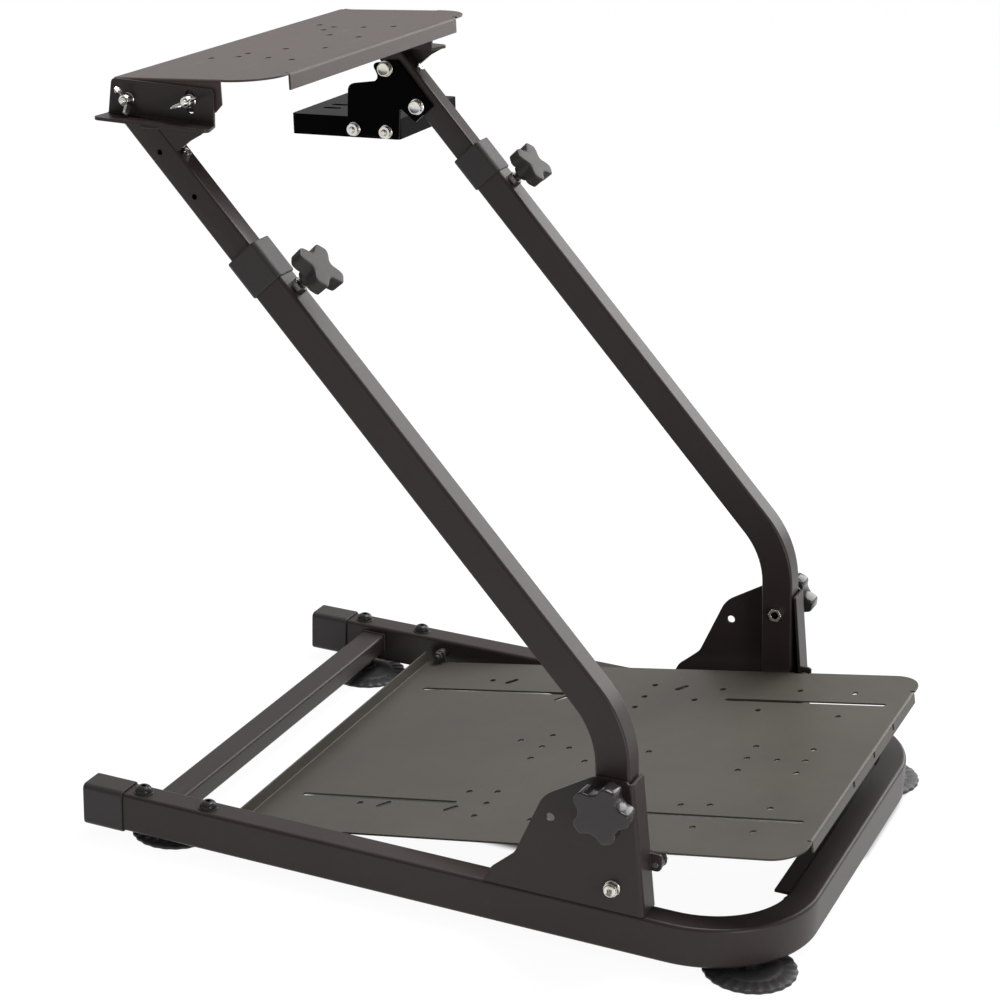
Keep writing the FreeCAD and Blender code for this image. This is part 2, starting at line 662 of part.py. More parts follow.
def make_pedal_plate():
    """Folded sheet, drawn flat in its own layout: x up the slope, z off the sheet."""
    body = new_piece("pedal_plate")
    half = pedal_half
    edge = half - pedal_bend
    inside = pedal_bend - pedal_thick
    tabs = (rear_tab, front_tab)

    def sheet_outline(sketch):
        front = pedal_length - pedal_bend
        lip = pedal_lip_half + 2
        corners = [(pedal_bend, -half)]
        for along in tabs:
            start, end = along - tab_long / 2 - 1, along + tab_long / 2 + 1
            corners += [(start, -half), (start, -edge), (end, -edge), (end, -half)]
        corners += [(pedal_length, -half, pedal_corner), (pedal_length, -lip), (front - 2, -lip),
                    (front - 2, -pedal_lip_half), (front, -pedal_lip_half)]
        draw_line(sketch, corners + [(x, -y, *radius) for x, y, *radius in reversed(corners)])

    def rear_flange(sketch):
        draw_line(sketch, [(0, pedal_heel), (0, -pedal_thick, pedal_bend),
                           (2 * pedal_bend, -pedal_thick), (2 * pedal_bend, 0),
                           (pedal_thick, 0, inside), (pedal_thick, pedal_heel)])

    def front_flange(sketch):
        back, face = pedal_length - 2 * pedal_bend, pedal_length - pedal_thick
        draw_line(sketch, [(back, -pedal_thick), (face, -pedal_thick, inside), (face, -pedal_lip),
                           (pedal_length, -pedal_lip), (pedal_length, 0, pedal_bend), (back, 0)])

    pad(body, "XY_Plane", -pedal_thick, pedal_thick, sheet_outline)
    pad(body, "XZ_Plane", -half, 2 * half, rear_flange)
    pad(body, "XZ_Plane", -pedal_lip_half, 2 * pedal_lip_half, front_flange)
    for side in (-1, 1):
        back, face, rim = (half - 2 * pedal_bend) * side, (half - pedal_thick) * side, half * side
        reach = tab_hole + tab_edge

        def raised(sketch):
            draw_line(sketch, [(back, -pedal_thick), (rim, -pedal_thick, pedal_bend), (rim, reach),
                               (face, reach), (face, 0, inside), (back, 0)])

        def lowered(sketch):
            draw_line(sketch, [(back, 0), (rim, 0, pedal_bend), (rim, -reach), (face, -reach),
                               (face, -pedal_thick, inside), (back, -pedal_thick)])

        pad(body, "YZ_Plane", rear_tab - tab_long / 2, tab_long, raised)
        pad(body, "YZ_Plane", front_tab - tab_long / 2, tab_long, lowered)

    def tab_corner(edge):
        spot = edge.CenterOfMass
        return (abs(edge.Length - pedal_thick.number) < 1e-4
                and abs(abs(spot.y) + pedal_thick.number / 2 - half.number) < 1e-4
                and abs(abs(spot.z) - (tab_hole + tab_edge).number) < 1e-4)

    round_edges(body, tab_edge, tab_corner)

    def holes(sketch):
        for along, row in PEDAL_HOLES.items():
            for y in row:
                draw_circle(sketch, along, y, pedal_hole)
        for start, end in LONG_SLOTS:
            for side in (-1, 1):
                draw_slot(sketch, [(start, slot_apart * side), (end, slot_apart * side)], slot_wide)
        for along, y in SLANT_HOLES:
            draw_slot(sketch, [(along - 3, y - 4), (along + 3, y + 4)], pedal_hole)

    cut(body, "XY_Plane", -pedal_thick, pedal_thick, holes)

    def slits(sketch):
        for y in (-45, 25, 94):
            draw_box(sketch, as_size(y), (pedal_bend - pedal_lip) / 2, 5, pedal_lip - pedal_bend - 3)

    cut(body, "YZ_Plane", pedal_length - pedal_thick, pedal_thick, slits)

    def tab_holes(sketch):
        draw_circle(sketch, rear_tab, tab_hole, pedal_screw + 2 * screw_play)
        draw_circle(sketch, front_tab, -tab_hole, pedal_screw + 2 * screw_play)

    cut(body, "XZ_Plane", -half, 2 * half, tab_holes)
    place(body, pedal_rear, 0, pedal_rise, -pedal_pitch)


def make_pedal_bolt(name, side, along, above, into):
    """Bolt along Y from the rail's side through a tab, with a spacer outside and a nut inside it."""
    body = new_piece(name)
    x, z = pedal_point(along, above)
    screw = pedal_screw / 2
    face = pedal_gap + pedal_thick
    corners = [(0, 0), (pedal_screw, 0), (pedal_screw, pedal_gap), (screw, pedal_gap),
               (screw, face + 8), (0, face + 8)]
    if into:
        corners[:2] = [(0, -into), (screw, -into), (screw, 0), (pedal_screw, 0)]
    turned(body, corners)
    pad(body, "XY_Plane", face, 5, lambda sketch: draw_polygon(sketch, pedal_nut, 6))
    place(body, x, rail_inner * side, z, as_size(90 * side), (1, 0, 0))


def make_arm_tube(name, side):
    """Bent tube, drawn with the bend's corner at its origin and its upper run along Z."""
    body = new_piece(f"outer_arm_{name}")
    turn = arm_lean - foot_lean

    def below_bend(distance):
        return -distance * sin(turn), -distance * cos(turn)

    def section(sketch):
        draw_box(sketch, as_size(0), as_size(0), arm_deep, arm_wide, arm_round)
        draw_box(sketch, as_size(0), as_size(0), arm_deep - 2 * arm_wall, arm_wide - 2 * arm_wall)

    path = [(0, arm_run), (0, 0, arm_bend), below_bend(arm_rise + arm_foot)]
    sweep(body, "XZ_Plane", path, "XY_Plane", arm_run, section)

    def holes(sketch):
        for distance in (arm_rise, arm_rise - lock_reach):
            draw_circle(sketch, *below_bend(distance), stud_span + 2 * screw_play)

    cut(body, "XZ_Plane", -arm_wide / 2, arm_wide, holes)
    cut(body, "YZ_Plane", inner_shift + inner_deep / 2, arm_deep,
        lambda sketch: draw_circle(sketch, 0, knob_along, stud_span + 2 * screw_play))
    place(body, bend_x, arm_middle * side, bend_z, -arm_lean)


def make_pivot_bolt(name, side):
    """Pivot bolt along Y, with a lock nut outside the bracket and its head inside the arm."""
    body = new_piece(f"pivot_bolt_{name}")
    stud = stud_span / 2
    grip = plate_thick + arm_gap + arm_wide + 0.5
    turned(body, [(0, -9), (stud, -9), (stud, grip), (7.5, grip), (6, grip + 4), (0, grip + 4)])
    pad(body, "XY_Plane", -7, 7, lambda sketch: draw_polygon(sketch, nut_span, 6))
    place(body, pivot_reach, half_width * side, pivot_rise, as_size(90 * side), (1, 0, 0))


def make_collar(name, side):
    """Plastic sleeve over the open end of the outer arm; the inner arm slides through its lip."""
    body = new_piece(f"arm_collar_{name}")
    deep = arm_deep + 2 * collar_wall
    wide = arm_wide + 2 * collar_wall
    top = collar_length - collar_lip

    def outside(sketch):
        draw_box(sketch, as_size(0), as_size(0), deep, wide, arm_round + collar_wall)

    def tube_seat(sketch):
        draw_box(sketch, as_size(0), as_size(0), arm_deep, arm_wide, arm_round)

    def slide_way(sketch):
        draw_box(sketch, inner_shift, as_size(0), inner_deep + 2 * inner_play,
                 inner_wide + 2 * inner_play, inner_round)

    pad(body, "XY_Plane", 0, collar_length, outside)
    cut(body, "XY_Plane", 0, top, tube_seat)
    cut(body, "XY_Plane", top, collar_lip, slide_way)
    x, z = on_arm(arm_run - top, 0)
    place(body, x, arm_middle * side, z, -arm_lean)


def make_weld_nut(name, x, y, z, turn, axis):
    """Hexagon nut with a through hole, welded to a tube wall."""
    body = new_piece(name)
    pad(body, "XY_Plane", 0, nut_high, lambda sketch: draw_polygon(sketch, nut_span, 6))
    cut(body, "XY_Plane", 0, nut_high,
        lambda sketch: draw_circle(sketch, 0, 0, stud_span + 2 * screw_play))
    place(body, x, y, z, turn, axis)


def make_knob(name, screw, x, y, z, turn, axis):
    """Star knob whose screw points down from its neck; the neck stands on z = 0."""
    body = new_piece(name)
    stud = stud_span / 2
    turned(body, [(0, -screw), (stud, -screw), (stud, 0), (9, 0), (10, knob_neck), (0, knob_neck)])

    def star(sketch):
        reach, half = knob_span / 2, knob_lobe / 2
        corners = []
        for i in range(int(knob_lobes.number)):
            turn = as_size(360 * i) / knob_lobes
            valley = turn - as_size(180) / knob_lobes
            corners.append((knob_hub / 2 * cos(valley), knob_hub / 2 * sin(valley), 4))
            for out in (-half, half):
                corners.append((reach * cos(turn) - out * sin(turn),
                                reach * sin(turn) + out * cos(turn), half - 1.5))
        draw_line(sketch, corners)

    pad(body, "XY_Plane", knob_neck, knob_thick, star)
    place(body, x, y, z, turn, axis)


def make_inner_arm(name, side):
    """Inner tube, drawn along its own Z from its hidden end, cut level under the bracket."""
    body = new_piece(f"inner_arm_{name}")
    seat_z = leg_top - plate_thick
    start_x, start_z = on_arm(arm_run - inner_hidden, 0)
    rise = (seat_z - start_z) / cos(arm_lean)
    slope = tan(arm_lean)
    front, back = inner_shift + inner_deep / 2, inner_shift - inner_deep / 2

    def section(sketch):
        draw_box(sketch, inner_shift, as_size(0), inner_deep, inner_wide, inner_round)
        draw_box(sketch, inner_shift, as_size(0), inner_deep - 2 * inner_wall,
                 inner_wide - 2 * inner_wall)

    pad(body, "XY_Plane", 0, rise + inner_deep * slope, section)

    def level_end(sketch):
        far = rise + 2 * inner_deep * slope
        low, high = front + 1, back - 1
        draw_line(sketch, [(high, rise - high * slope), (low, rise - low * slope),
                           (low, far), (high, far)])

    cut(body, "XZ_Plane", -inner_wide, 2 * inner_wide, level_end)

    def adjust_holes(sketch):
        for i in range(6):
            draw_circle(sketch, 0, inner_hidden - 60 + adjust_pitch * i, adjust_hole)

    cut(body, "YZ_Plane", inner_shift, inner_deep, adjust_holes)

    def side_holes(sketch):
        for distance in (strip_top - 20.5, strip_top - 70.5):
            draw_circle(sketch, inner_shift - 1.5, distance - arm_run + inner_hidden, adjust_hole)

    cut(body, "XZ_Plane", low_side(side, inner_wide / 2 - inner_wall, inner_wide / 2), inner_wall,
        side_holes)
    place(body, start_x, arm_middle * side, start_z, -arm_lean)


def wing_points():
    """Side-view places of the rear and front wing bolts."""
    places = []
    for along in (wing_inset, wing_inset + wing_space):
        x = desk_rear_x + along * cos(desk_pitch) + wing_drop * sin(desk_pitch)
        z = desk_rear_z + along * sin(desk_pitch) - wing_drop * cos(desk_pitch)
        places.append((x, z))
    return places


def make_wheel_bracket(name, side):
    """Angle bracket: a level leg on the inner arm and an upright leg beside the wheel plate."""
    body = new_piece(f"wheel_bracket_{name}")
    upright = desk_half + desk_gap
    outer = arm_middle + inner_wide / 2 + leg_past
    pad(body, "XY_Plane", leg_top - plate_thick, plate_thick,
        lambda sketch: draw_line(sketch, [
            (leg_rear - 2, outer * side, 6), (leg_rear + leg_length + 4, outer * side, 6),
            (leg_rear + leg_length - 4, upright * side), (leg_rear, upright * side)]))

    def leg(sketch):
        front = leg_rear + leg_length - 4
        low, top = leg_top - plate_thick, leg_top + leg_rise
        draw_line(sketch, [(leg_rear, low), (front, low), (front, top, 4), (leg_rear + 4, top, 4)])

    pad(body, "XZ_Plane", low_side(side, upright, upright + plate_thick), plate_thick, leg)
    (rear_x, rear_z), _ = wing_points()

    def pivot_hole(sketch):
        draw_circle(sketch, rear_x, rear_z, wing_span + 2 * screw_play)

    def tilt_slot(sketch):
        low, high = desk_pitch - tilt_down, desk_pitch + tilt_up
        wide = wing_span + 1.5
        outer, inner = wing_space + wide / 2, wing_space - wide / 2
        arc_slot(sketch, rear_x, rear_z, inner, outer, low, high)

    cut(body, "XZ_Plane", low_side(side, upright, upright + plate_thick), plate_thick, pivot_hole)
    cut(body, "XZ_Plane", low_side(side, upright, upright + plate_thick), plate_thick, tilt_slot)
    place(body, 0, 0, 0)


def arc_slot(sketch, x, y, inner, outer, low, high):
    """A slot curved about x, y, with round ends, between two angles."""
    centre = Vector(x.number, y.number, 0)
    up = Vector(0, 0, 1)
    low_turn, high_turn = math.radians(low.number), math.radians(high.number)
    wide_arc = Part.ArcOfCircle(Part.Circle(centre, up, outer.number), low_turn, high_turn)
    narrow_arc = Part.ArcOfCircle(Part.Circle(centre, up, inner.number), low_turn, high_turn)
    middle = (inner + outer) / 2
    half = (outer - inner) / 2
    ends = []
    for turn, start in ((low_turn, low_turn + math.pi), (high_turn, high_turn)):
        end = centre + Vector(math.cos(turn), math.sin(turn), 0) * middle.number
        ends.append(Part.ArcOfCircle(Part.Circle(end, up, half.number), start, start + math.pi))
    arcs = [sketch.addGeometry(item, False) for item in (wide_arc, narrow_arc, *ends)]
    hold(sketch, "Tangent", arcs[2], 2, arcs[0], 1)
    hold(sketch, "Tangent", arcs[2], 1, arcs[1], 1)
    hold(sketch, "Tangent", arcs[3], 1, arcs[0], 2)
    hold(sketch, "Tangent", arcs[3], 2, arcs[1], 2)
    hold_point(sketch, arcs[0], 3, x, y)
    hold(sketch, "Coincident", arcs[0], 3, arcs[1], 3)
    hold(sketch, "Radius", arcs[0], outer)
    hold(sketch, "Radius", arcs[1], inner)
    for arc, turn in ((arcs[2], low), (arcs[3], high)):
        hold(sketch, "DistanceY", -1, 1, arc, 3, y + middle * sin(turn))


DESK_HOLES = ((34, 108), (56, 96), (55, 76), (88, 98), (78, 45), (117, 106), (114, 35))


def make_wheel_plate():
    """Folded sheet, drawn flat: x from the rear edge to the front, z up from its top face."""
    body = new_piece("wheel_plate")
    half = desk_half

    edge = half - desk_bend
    inside = desk_bend - desk_thick

    def outline(sketch):
        front = desk_deep - desk_bend
        lip = desk_lip_half + 2
        corners = [(0, -edge), (desk_side + 1, -edge), (desk_side + 1, -half),
                   (desk_deep, -half, desk_corner), (desk_deep, -lip), (front - 2, -lip),
                   (front - 2, -desk_lip_half), (front, -desk_lip_half)]
        draw_line(sketch, corners + [(x, -y, *radius) for x, y, *radius in reversed(corners)])

    def skirts(sketch):
        draw_line(sketch, [
            (-half, -desk_skirt), (-half + desk_thick, -desk_skirt),
            (-half + desk_thick, -desk_thick, inside), (half - desk_thick, -desk_thick, inside),
            (half - desk_thick, -desk_skirt), (half, -desk_skirt), (half, 0, desk_bend),
            (-half, 0, desk_bend)])

    def lip(sketch):
        back, face = desk_deep - 2 * desk_bend, desk_deep - desk_thick
        draw_line(sketch, [(back, -desk_thick), (face, -desk_thick, inside), (face, -desk_lip),
                           (desk_deep, -desk_lip), (desk_deep, 0, desk_bend), (back, 0)])

    pad(body, "YZ_Plane", 0, desk_side, skirts)
    pad(body, "XY_Plane", -desk_thick, desk_thick, outline)
    pad(body, "XZ_Plane", -desk_lip_half, 2 * desk_lip_half, lip)

    def trim(sketch):
        draw_line(sketch, [(desk_side - 8, -desk_skirt - 1), (desk_side + 1, -desk_skirt - 1),
                           (desk_side + 1, -desk_skirt + 8)])

    cut(body, "XZ_Plane", -half - 1, 2 * half + 2, trim)

    def bolt_holes(sketch):
        for along in (wing_inset, wing_inset + wing_space):
            draw_circle(sketch, along, -wing_drop, wing_span)

    cut(body, "XZ_Plane", -half, 2 * half, bolt_holes)

    def holes(sketch):
        for along, y in DESK_HOLES:
            for side in (-1, 1):
                draw_circle(sketch, along, y * side, desk_hole)

    cut(body, "XY_Plane", -desk_thick, desk_thick, holes)
    place(body, desk_rear_x, 0, desk_rear_z, -desk_pitch)


def make_wing_bolt(name, side, x, z):
    """Carriage bolt from inside the flange with a wing nut outside the bracket."""
    body = new_piece(name)
    radius = wing_span / 2
    grip = desk_thick + desk_gap + plate_thick
    turned(body, [(0, -2.5), (6.5, -1), (6.5, 0), (radius, 0), (radius, grip), (5.5, grip),
                  (4.5, grip + 7), (radius, grip + 7), (radius, grip + 12), (0, grip + 12)])
    pad(body, "XZ_Plane", -1.2, 2.4,
        lambda sketch: draw_line(sketch, [
            (-4, grip + 1), (4, grip + 1), (14, grip + 8), (15.5, grip + 11), (14, grip + 15),
            (10, grip + 15), (3, grip + 6), (-3, grip + 6), (-10, grip + 15), (-14, grip + 15),
            (-15.5, grip + 11), (-14, grip + 8)]))
    place(body, x, (desk_half - desk_thick) * side, z, as_size(-90 * side), (1, 0, 0))


def make_hanger():
    """Flat black plate bolted along the far inner arm; its tail carries the shifter tray."""
    body = new_piece("shifter_hanger")
    tail_low, tail_top = tray_rise - 14, tray_rise + 39

    def plate(sketch):
        draw_line(sketch, [
            (hanger_tail, tail_low, 3), (hanger_tail + tail_wide, tail_low, 3),
            (hanger_tail + tail_wide, tail_low + 34, 2), on_arm(strip_low, strip_back + 1),
            on_arm(strip_low, strip_front), (*on_arm(strip_top - 16, strip_front + 1), 4),
            (*on_arm(strip_top, strip_back + 3), 4), (hanger_tail + 38, tail_top + 7, 6),
            (hanger_tail, tail_top, 8)])

    pad(body, "XZ_Plane", hanger_face - hanger_thick, hanger_thick, plate)
    place(body, 0, 0, 0)


def make_tray():
    """Shallow folded tray, open below, drawn with its rear top edge on its own y axis."""
    body = new_piece("shifter_tray")

    def outside(sketch):
        draw_box(sketch, tray_length / 2, tray_width / 2, tray_length, tray_width, as_size(4))

    def inside(sketch):
        draw_box(sketch, tray_length / 2, tray_width / 2, tray_length - 2 * tray_thick,
                 tray_width - 2 * tray_thick, as_size(1.5))

    pad(body, "XY_Plane", -tray_deep, tray_deep, outside)
    cut(body, "XY_Plane", -tray_deep, tray_deep - tray_thick, inside)

    def slots(sketch):
        for x in (28, 100):
            for y in (41, 61, 104):
                draw_slot(sketch, [(x - 7, y), (x + 7, y)], 7)

    cut(body, "XY_Plane", -tray_thick, tray_thick, slots)
    place(body, -tray_rear, tray_near, tray_rise, -tray_pitch)


make_base_tube()
make_cross_tube()
for name, side in SIDES:
    make_end_cap(name, side)
    make_bracket(name, side)
for name, side in SIDES:
    make_foot(f"rear_{name}", cross_middle, (half_width - foot_inset) * side,
              rail_high - cross_drop - cross_high)
    make_foot(f"front_{name}", corner_x, corner_y * side, as_size(0))
make_pedal_plate()
for name, side in SIDES:
    make_pedal_bolt(f"pedal_rear_bolt_{name}", side, rear_tab, tab_hole, None)
    make_pedal_bolt(f"pedal_front_bolt_{name}", side, front_tab, -tab_hole, plate_thick)
for name, side in SIDES:
    make_arm_tube(name, side)
    make_pivot_bolt(name, side)
    make_collar(name, side)
    lock_x = pivot_reach - lock_reach * sin(foot_lean)
    lock_z = pivot_rise + lock_reach * cos(foot_lean)
    make_weld_nut(f"lock_nut_{name}", lock_x, arm_inner * side, lock_z, as_size(90 * side), (1, 0, 0))
    make_knob(f"lock_knob_{name}", plate_thick + nut_high / 2, lock_x,
              (half_width + nut_high / 2) * side, lock_z, as_size(-90 * side), (1, 0, 0))
    nut_x, nut_z = on_arm(knob_along, arm_deep / 2)
    make_weld_nut(f"height_nut_{name}", nut_x, arm_middle * side, nut_z, 90 - arm_lean, (0, 1, 0))
    knob_x, knob_z = on_arm(knob_along, arm_deep / 2 + nut_high + 1)
    make_knob(f"height_knob_{name}", nut_high + 1 + front_gap - knob_tip, knob_x,
              arm_middle * side, knob_z, 90 - arm_lean, (0, 1, 0))
    make_inner_arm(name, side)
    make_wheel_bracket(name, side)
    for spot, (x, z) in zip(("rear", "front"), wing_points()):
        make_wing_bolt(f"wing_bolt_{spot}_{name}", side, x, z)
make_wheel_plate()
make_hanger()
make_tray()

doc.recompute()
for item in doc.Objects:
    if "Invalid" in item.State or "Error" in item.State:
        raise RuntimeError(f"{item.Label} ({item.Name}) did not build")
os.makedirs("parts", exist_ok=True)
for piece in pieces:
    if piece.Shape.isNull() or not piece.Shape.isValid():
        raise RuntimeError(f"{piece.Label} has no valid shape")
    piece.Shape.exportStep(f"parts/{piece.Label}.step")
    print(piece.Label, len(piece.Shape.Solids), round(piece.Shape.Volume), piece.Shape.BoundBox)
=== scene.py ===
"""Racing wheel stand: finishes, fasteners, knobs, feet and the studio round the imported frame."""

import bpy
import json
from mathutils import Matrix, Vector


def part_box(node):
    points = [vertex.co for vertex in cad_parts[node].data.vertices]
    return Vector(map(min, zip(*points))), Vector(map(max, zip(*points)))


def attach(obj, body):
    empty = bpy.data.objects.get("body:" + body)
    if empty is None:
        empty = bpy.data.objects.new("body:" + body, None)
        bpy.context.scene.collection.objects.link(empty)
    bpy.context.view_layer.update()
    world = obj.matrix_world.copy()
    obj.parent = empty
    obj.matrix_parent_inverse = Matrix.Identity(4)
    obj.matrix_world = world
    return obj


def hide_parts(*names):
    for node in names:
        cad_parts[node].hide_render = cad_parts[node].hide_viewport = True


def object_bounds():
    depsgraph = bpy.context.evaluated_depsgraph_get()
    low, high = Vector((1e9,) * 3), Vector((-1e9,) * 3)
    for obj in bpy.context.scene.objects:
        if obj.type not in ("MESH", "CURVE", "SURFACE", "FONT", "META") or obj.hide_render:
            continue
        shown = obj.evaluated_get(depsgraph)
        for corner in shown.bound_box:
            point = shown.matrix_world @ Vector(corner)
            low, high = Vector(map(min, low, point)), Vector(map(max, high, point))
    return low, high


bl_info = {
    "name": "Racing wheel stand",
    "version": (1, 0, 0),
    "blender": (4, 5, 0),
    "location": "3D View > Sidebar > Stand",
    "description": "Dresses the steel frame of a racing wheel stand and sets up its studio",
    "category": "Object",
}

import json
import math

import bmesh
import bpy
from bpy.props import FloatProperty, FloatVectorProperty, IntProperty, PointerProperty
from mathutils import Matrix, Vector, noise

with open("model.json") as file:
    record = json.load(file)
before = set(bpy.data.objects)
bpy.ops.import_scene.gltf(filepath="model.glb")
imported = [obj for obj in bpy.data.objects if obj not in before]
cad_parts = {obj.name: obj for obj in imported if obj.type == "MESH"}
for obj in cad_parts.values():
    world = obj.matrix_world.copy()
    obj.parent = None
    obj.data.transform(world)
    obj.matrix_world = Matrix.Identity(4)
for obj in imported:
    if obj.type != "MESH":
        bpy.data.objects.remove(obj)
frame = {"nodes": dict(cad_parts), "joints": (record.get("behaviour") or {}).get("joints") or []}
CAD_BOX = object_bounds()
NODES = frame["nodes"]

MM = 0.001
RAIL_LOW, RAIL_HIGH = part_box("base_tube")
CAP_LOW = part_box("end_cap_near")[0]
# The stand's own corner: rear end of the rails, middle of the width, underside of the rails.
ORIGIN = Vector((CAP_LOW.x, (RAIL_LOW.y + RAIL_HIGH.y) / 2, RAIL_LOW.z))
SIDES = {"near": -1, "far": 1}
UP = (0, 0, 1)
WHITE = (1.0, 1.0, 1.0, 1.0)
# A direction that no weld runs in.
ASKEW = Vector((0.3, 0.5, 0.81))

# Depths of the coats' grain, in metres.
COARSE_GRAIN, PAINT_RIPPLE, TOOL_LINES = 0.00014, 0.00012, 0.00006
DUST_COLOUR = (0.2, 0.19, 0.18)
# CAD nodes of zinc that stand in the shade of other parts; they get a darker zinc, which is painted
# shade.
SHADED_ZINC_NODES = ("height_nut", "pedal_front_bolt", "pedal_rear_bolt")
# A mesh's points nearer than this become one, and edges shorter than this go, in metres.
WELD_WITHIN, LEAST_EDGE = 2e-6, 1e-6

# In millimetres: the inner tube's wall and least inner corner, how far below its top its side
# holes lie, and a knob's height over the foot of its thread.
TUBE_WALL, LEAST_CORNER = 1.2, 0.6
SIDE_HOLE_DROPS = (28.5, 78.0)
KNOB_HIGH = 27.0
# Turn of each knob about its screw, and of the wing nuts' wings, in radians.
KNOB_SPINS = {"lock_knob_near": 0.964, "lock_knob_far": 0.4,
              "height_knob_near": 0.668, "height_knob_far": 0.857}
WING_LEANS = {"rear": math.radians(115), "front": math.radians(25)}

# Places in millimetres from the stand's own corner.
CAMERA_PLACE = (1217.717, -2095.459, 1152.133)
RAIL_BOLTS_X, RAIL_BOLTS_Y = (60.0, 132.0), 241.0
# x, z and turn in radians of the bolts on the hanger and of the nuts that hold the tray.
HANGER_BOLTS = ((87.0, 676.3, 0.5), (123.9, 640.0, 0.1))
TRAY_NUTS = ((51.2, 608.8, 0.3), (88.9, 609.7, 0.8))
# Floor seen through the gaps beside the pedal plate stays out of the shadow painted under it: the
# strip's near and front corners.
SHADOW_EDGE_NEAR_END, SHADOW_EDGE_FRONT_END = (400, -106, 0), (660, 8, 0)

# Floor: half its side and how far it lies below the feet, in metres, the level of its paint, of
# the white that the camera sees, and the share of that white left in the painted shadow under the
# pedal plate.
FLOOR_REACH, FLOOR_DROP = 14.0, 0.0002
FLOOR_PAINT, FLOOR_WHITE, PAINTED_SHADOW_GLOW = 0.62, 1.1, 0.06
# Lamps: name, place and size in metres, and the setting of their power.
LAMPS = (("top_light", (0.3, 0.9, 2.7), 1.8, "key_power"),
         ("back_light", (1.15, 2.7, 1.4), 2.2, "back_power"),
         ("corner_light", (2.5, -1.85, 0.5), 1.0, "corner_power"))
LAMPS_AIM = Vector((0.0, 0.0, 0.3))

# Materials by slot, node or finish name. StandCoatings fills it.
FINISHES = {}


def stand(x, y, z):
    """A point given in millimetres from the stand's own corner."""
    return ORIGIN + Vector((x, y, z)) * MM


def middle(node):
    low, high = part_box(node)
    return (low + high) / 2


def widths(node, side):
    """A node's inner and outer y: towards the stand's middle, and away from it."""
    low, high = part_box(node)
    return (low.y, high.y) if side > 0 else (high.y, low.y)


def on_axis(bolt, y):
    """The point at y on the axis of a bolt that lies across the stand."""
    low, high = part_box(bolt)
    return Vector(((low.x + high.x) / 2, y, (low.z + high.z) / 2))


def joint_axis(name):
    joint = next(j for j in frame["joints"] if j["name"] == name)
    return Vector(joint["axis"]).normalized()


def reach_along(node, direction, start):
    """Lowest and highest distance of a CAD node's corners from start along a direction, in mm."""
    direction = Vector(direction).normalized()
    far = [(v.co - start).dot(direction) / MM for v in NODES[node].data.vertices]
    return min(far), max(far)


# ---------------------------------------------------------------- node trees


class Value:
    """A socket whose sums, differences and products become Math nodes."""

    def __init__(self, tree, socket):
        self.tree, self.socket = tree, socket

    def maths(self, operation, *others):
        return self.tree.node("ShaderNodeMath", {"operation": operation}, dict(enumerate(others)))

    def __add__(self, other):
        return self.maths("ADD", self, other)

    def __radd__(self, other):
        return self.maths("ADD", other, self)

    def __sub__(self, other):
        return self.maths("SUBTRACT", self, other)

    def __rsub__(self, other):
        return self.maths("SUBTRACT", other, self)

    def __mul__(self, other):
        return self.maths("MULTIPLY", self, other)

    def __rmul__(self, other):
        return self.maths("MULTIPLY", other, self)

    def most(self, other):
        return self.maths("MAXIMUM", self, other)

    def rise(self, low, high, start=0.0, end=1.0):
        """Smooth step from start to end while this value goes from low to high."""
        return self.tree.node(
            "ShaderNodeMapRange",
            {"interpolation_type": "SMOOTHSTEP"},
            {"Value": self, "From Min": low, "From Max": high, "To Min": start, "To Max": end},
        )


class Tree:
    """A material's or world's node tree, emptied and then built node by node."""

    def __init__(self, owner):
        owner.use_nodes = True
        self.tree = owner.node_tree
        self.tree.nodes.clear()

    def node(self, kind, settings=None, inputs=None, output=0):
        """A node with its settings made first, then its sockets linked or set."""
        made = self.tree.nodes.new(kind)
        for name, value in (settings or {}).items():
            setattr(made, name, value)
        for name, value in (inputs or {}).items():
            if isinstance(value, Value):
                self.tree.links.new(value.socket, made.inputs[name])
            else:
                made.inputs[name].default_value = value
        return Value(self, made.outputs[output]) if len(made.outputs) else None

    def blend(self, amount, first, second):
        """Colour mix from first to second by amount, through the node's colour sockets."""
        inputs = {0: amount, 6: first, 7: second}
        return self.node("ShaderNodeMix", {"data_type": "RGBA"}, inputs, output=2)

    def noise(self, where, scale, detail, roughness=0.5):
        """Noise with about scale waves to the metre."""
        inputs = {"Vector": where, "Scale": scale, "Detail": detail, "Roughness": roughness}
        return self.node("ShaderNodeTexNoise", None, inputs)

    def place(self):
        return self.node("ShaderNodeTexCoord", output="Object")

    def stretched(self, where, x, y, z):
        inputs = {0: where, 1: (x, y, z)}
        return self.node("ShaderNodeVectorMath", {"operation": "MULTIPLY"}, inputs)

    def parts(self, where):
        """The x, y and z of a vector."""
        split = self.node("ShaderNodeSeparateXYZ", None, {0: where})
        return [Value(self, socket) for socket in split.socket.node.outputs]

    def ray(self, kind):
        """1 for rays of one kind: Camera, Glossy or Transmission."""
        return self.node("ShaderNodeLightPath", output=f"Is {kind} Ray")

    def bump(self, height, distance, strength):
        inputs = {"Height": height, "Distance": distance, "Strength": strength}
        return self.node("ShaderNodeBump", None, inputs)

    def surface(self, **sockets):
        """The shader itself and the output; socket names are written with underscores."""
        names = {name.replace("_", " "): value for name, value in sockets.items()}
        shader = self.node("ShaderNodeBsdfPrincipled", None, names)
        self.node("ShaderNodeOutputMaterial", None, {"Surface": shader})


def rgba(colour, share=1.0):
    return (colour[0] * share, colour[1] * share, colour[2] * share, 1.0)


def fresh_coat(name):
    """A new material, its empty tree and the place of each point on its piece."""
    material = bpy.data.materials.new(name)
    tree = Tree(material)
    return material, tree, tree.place()


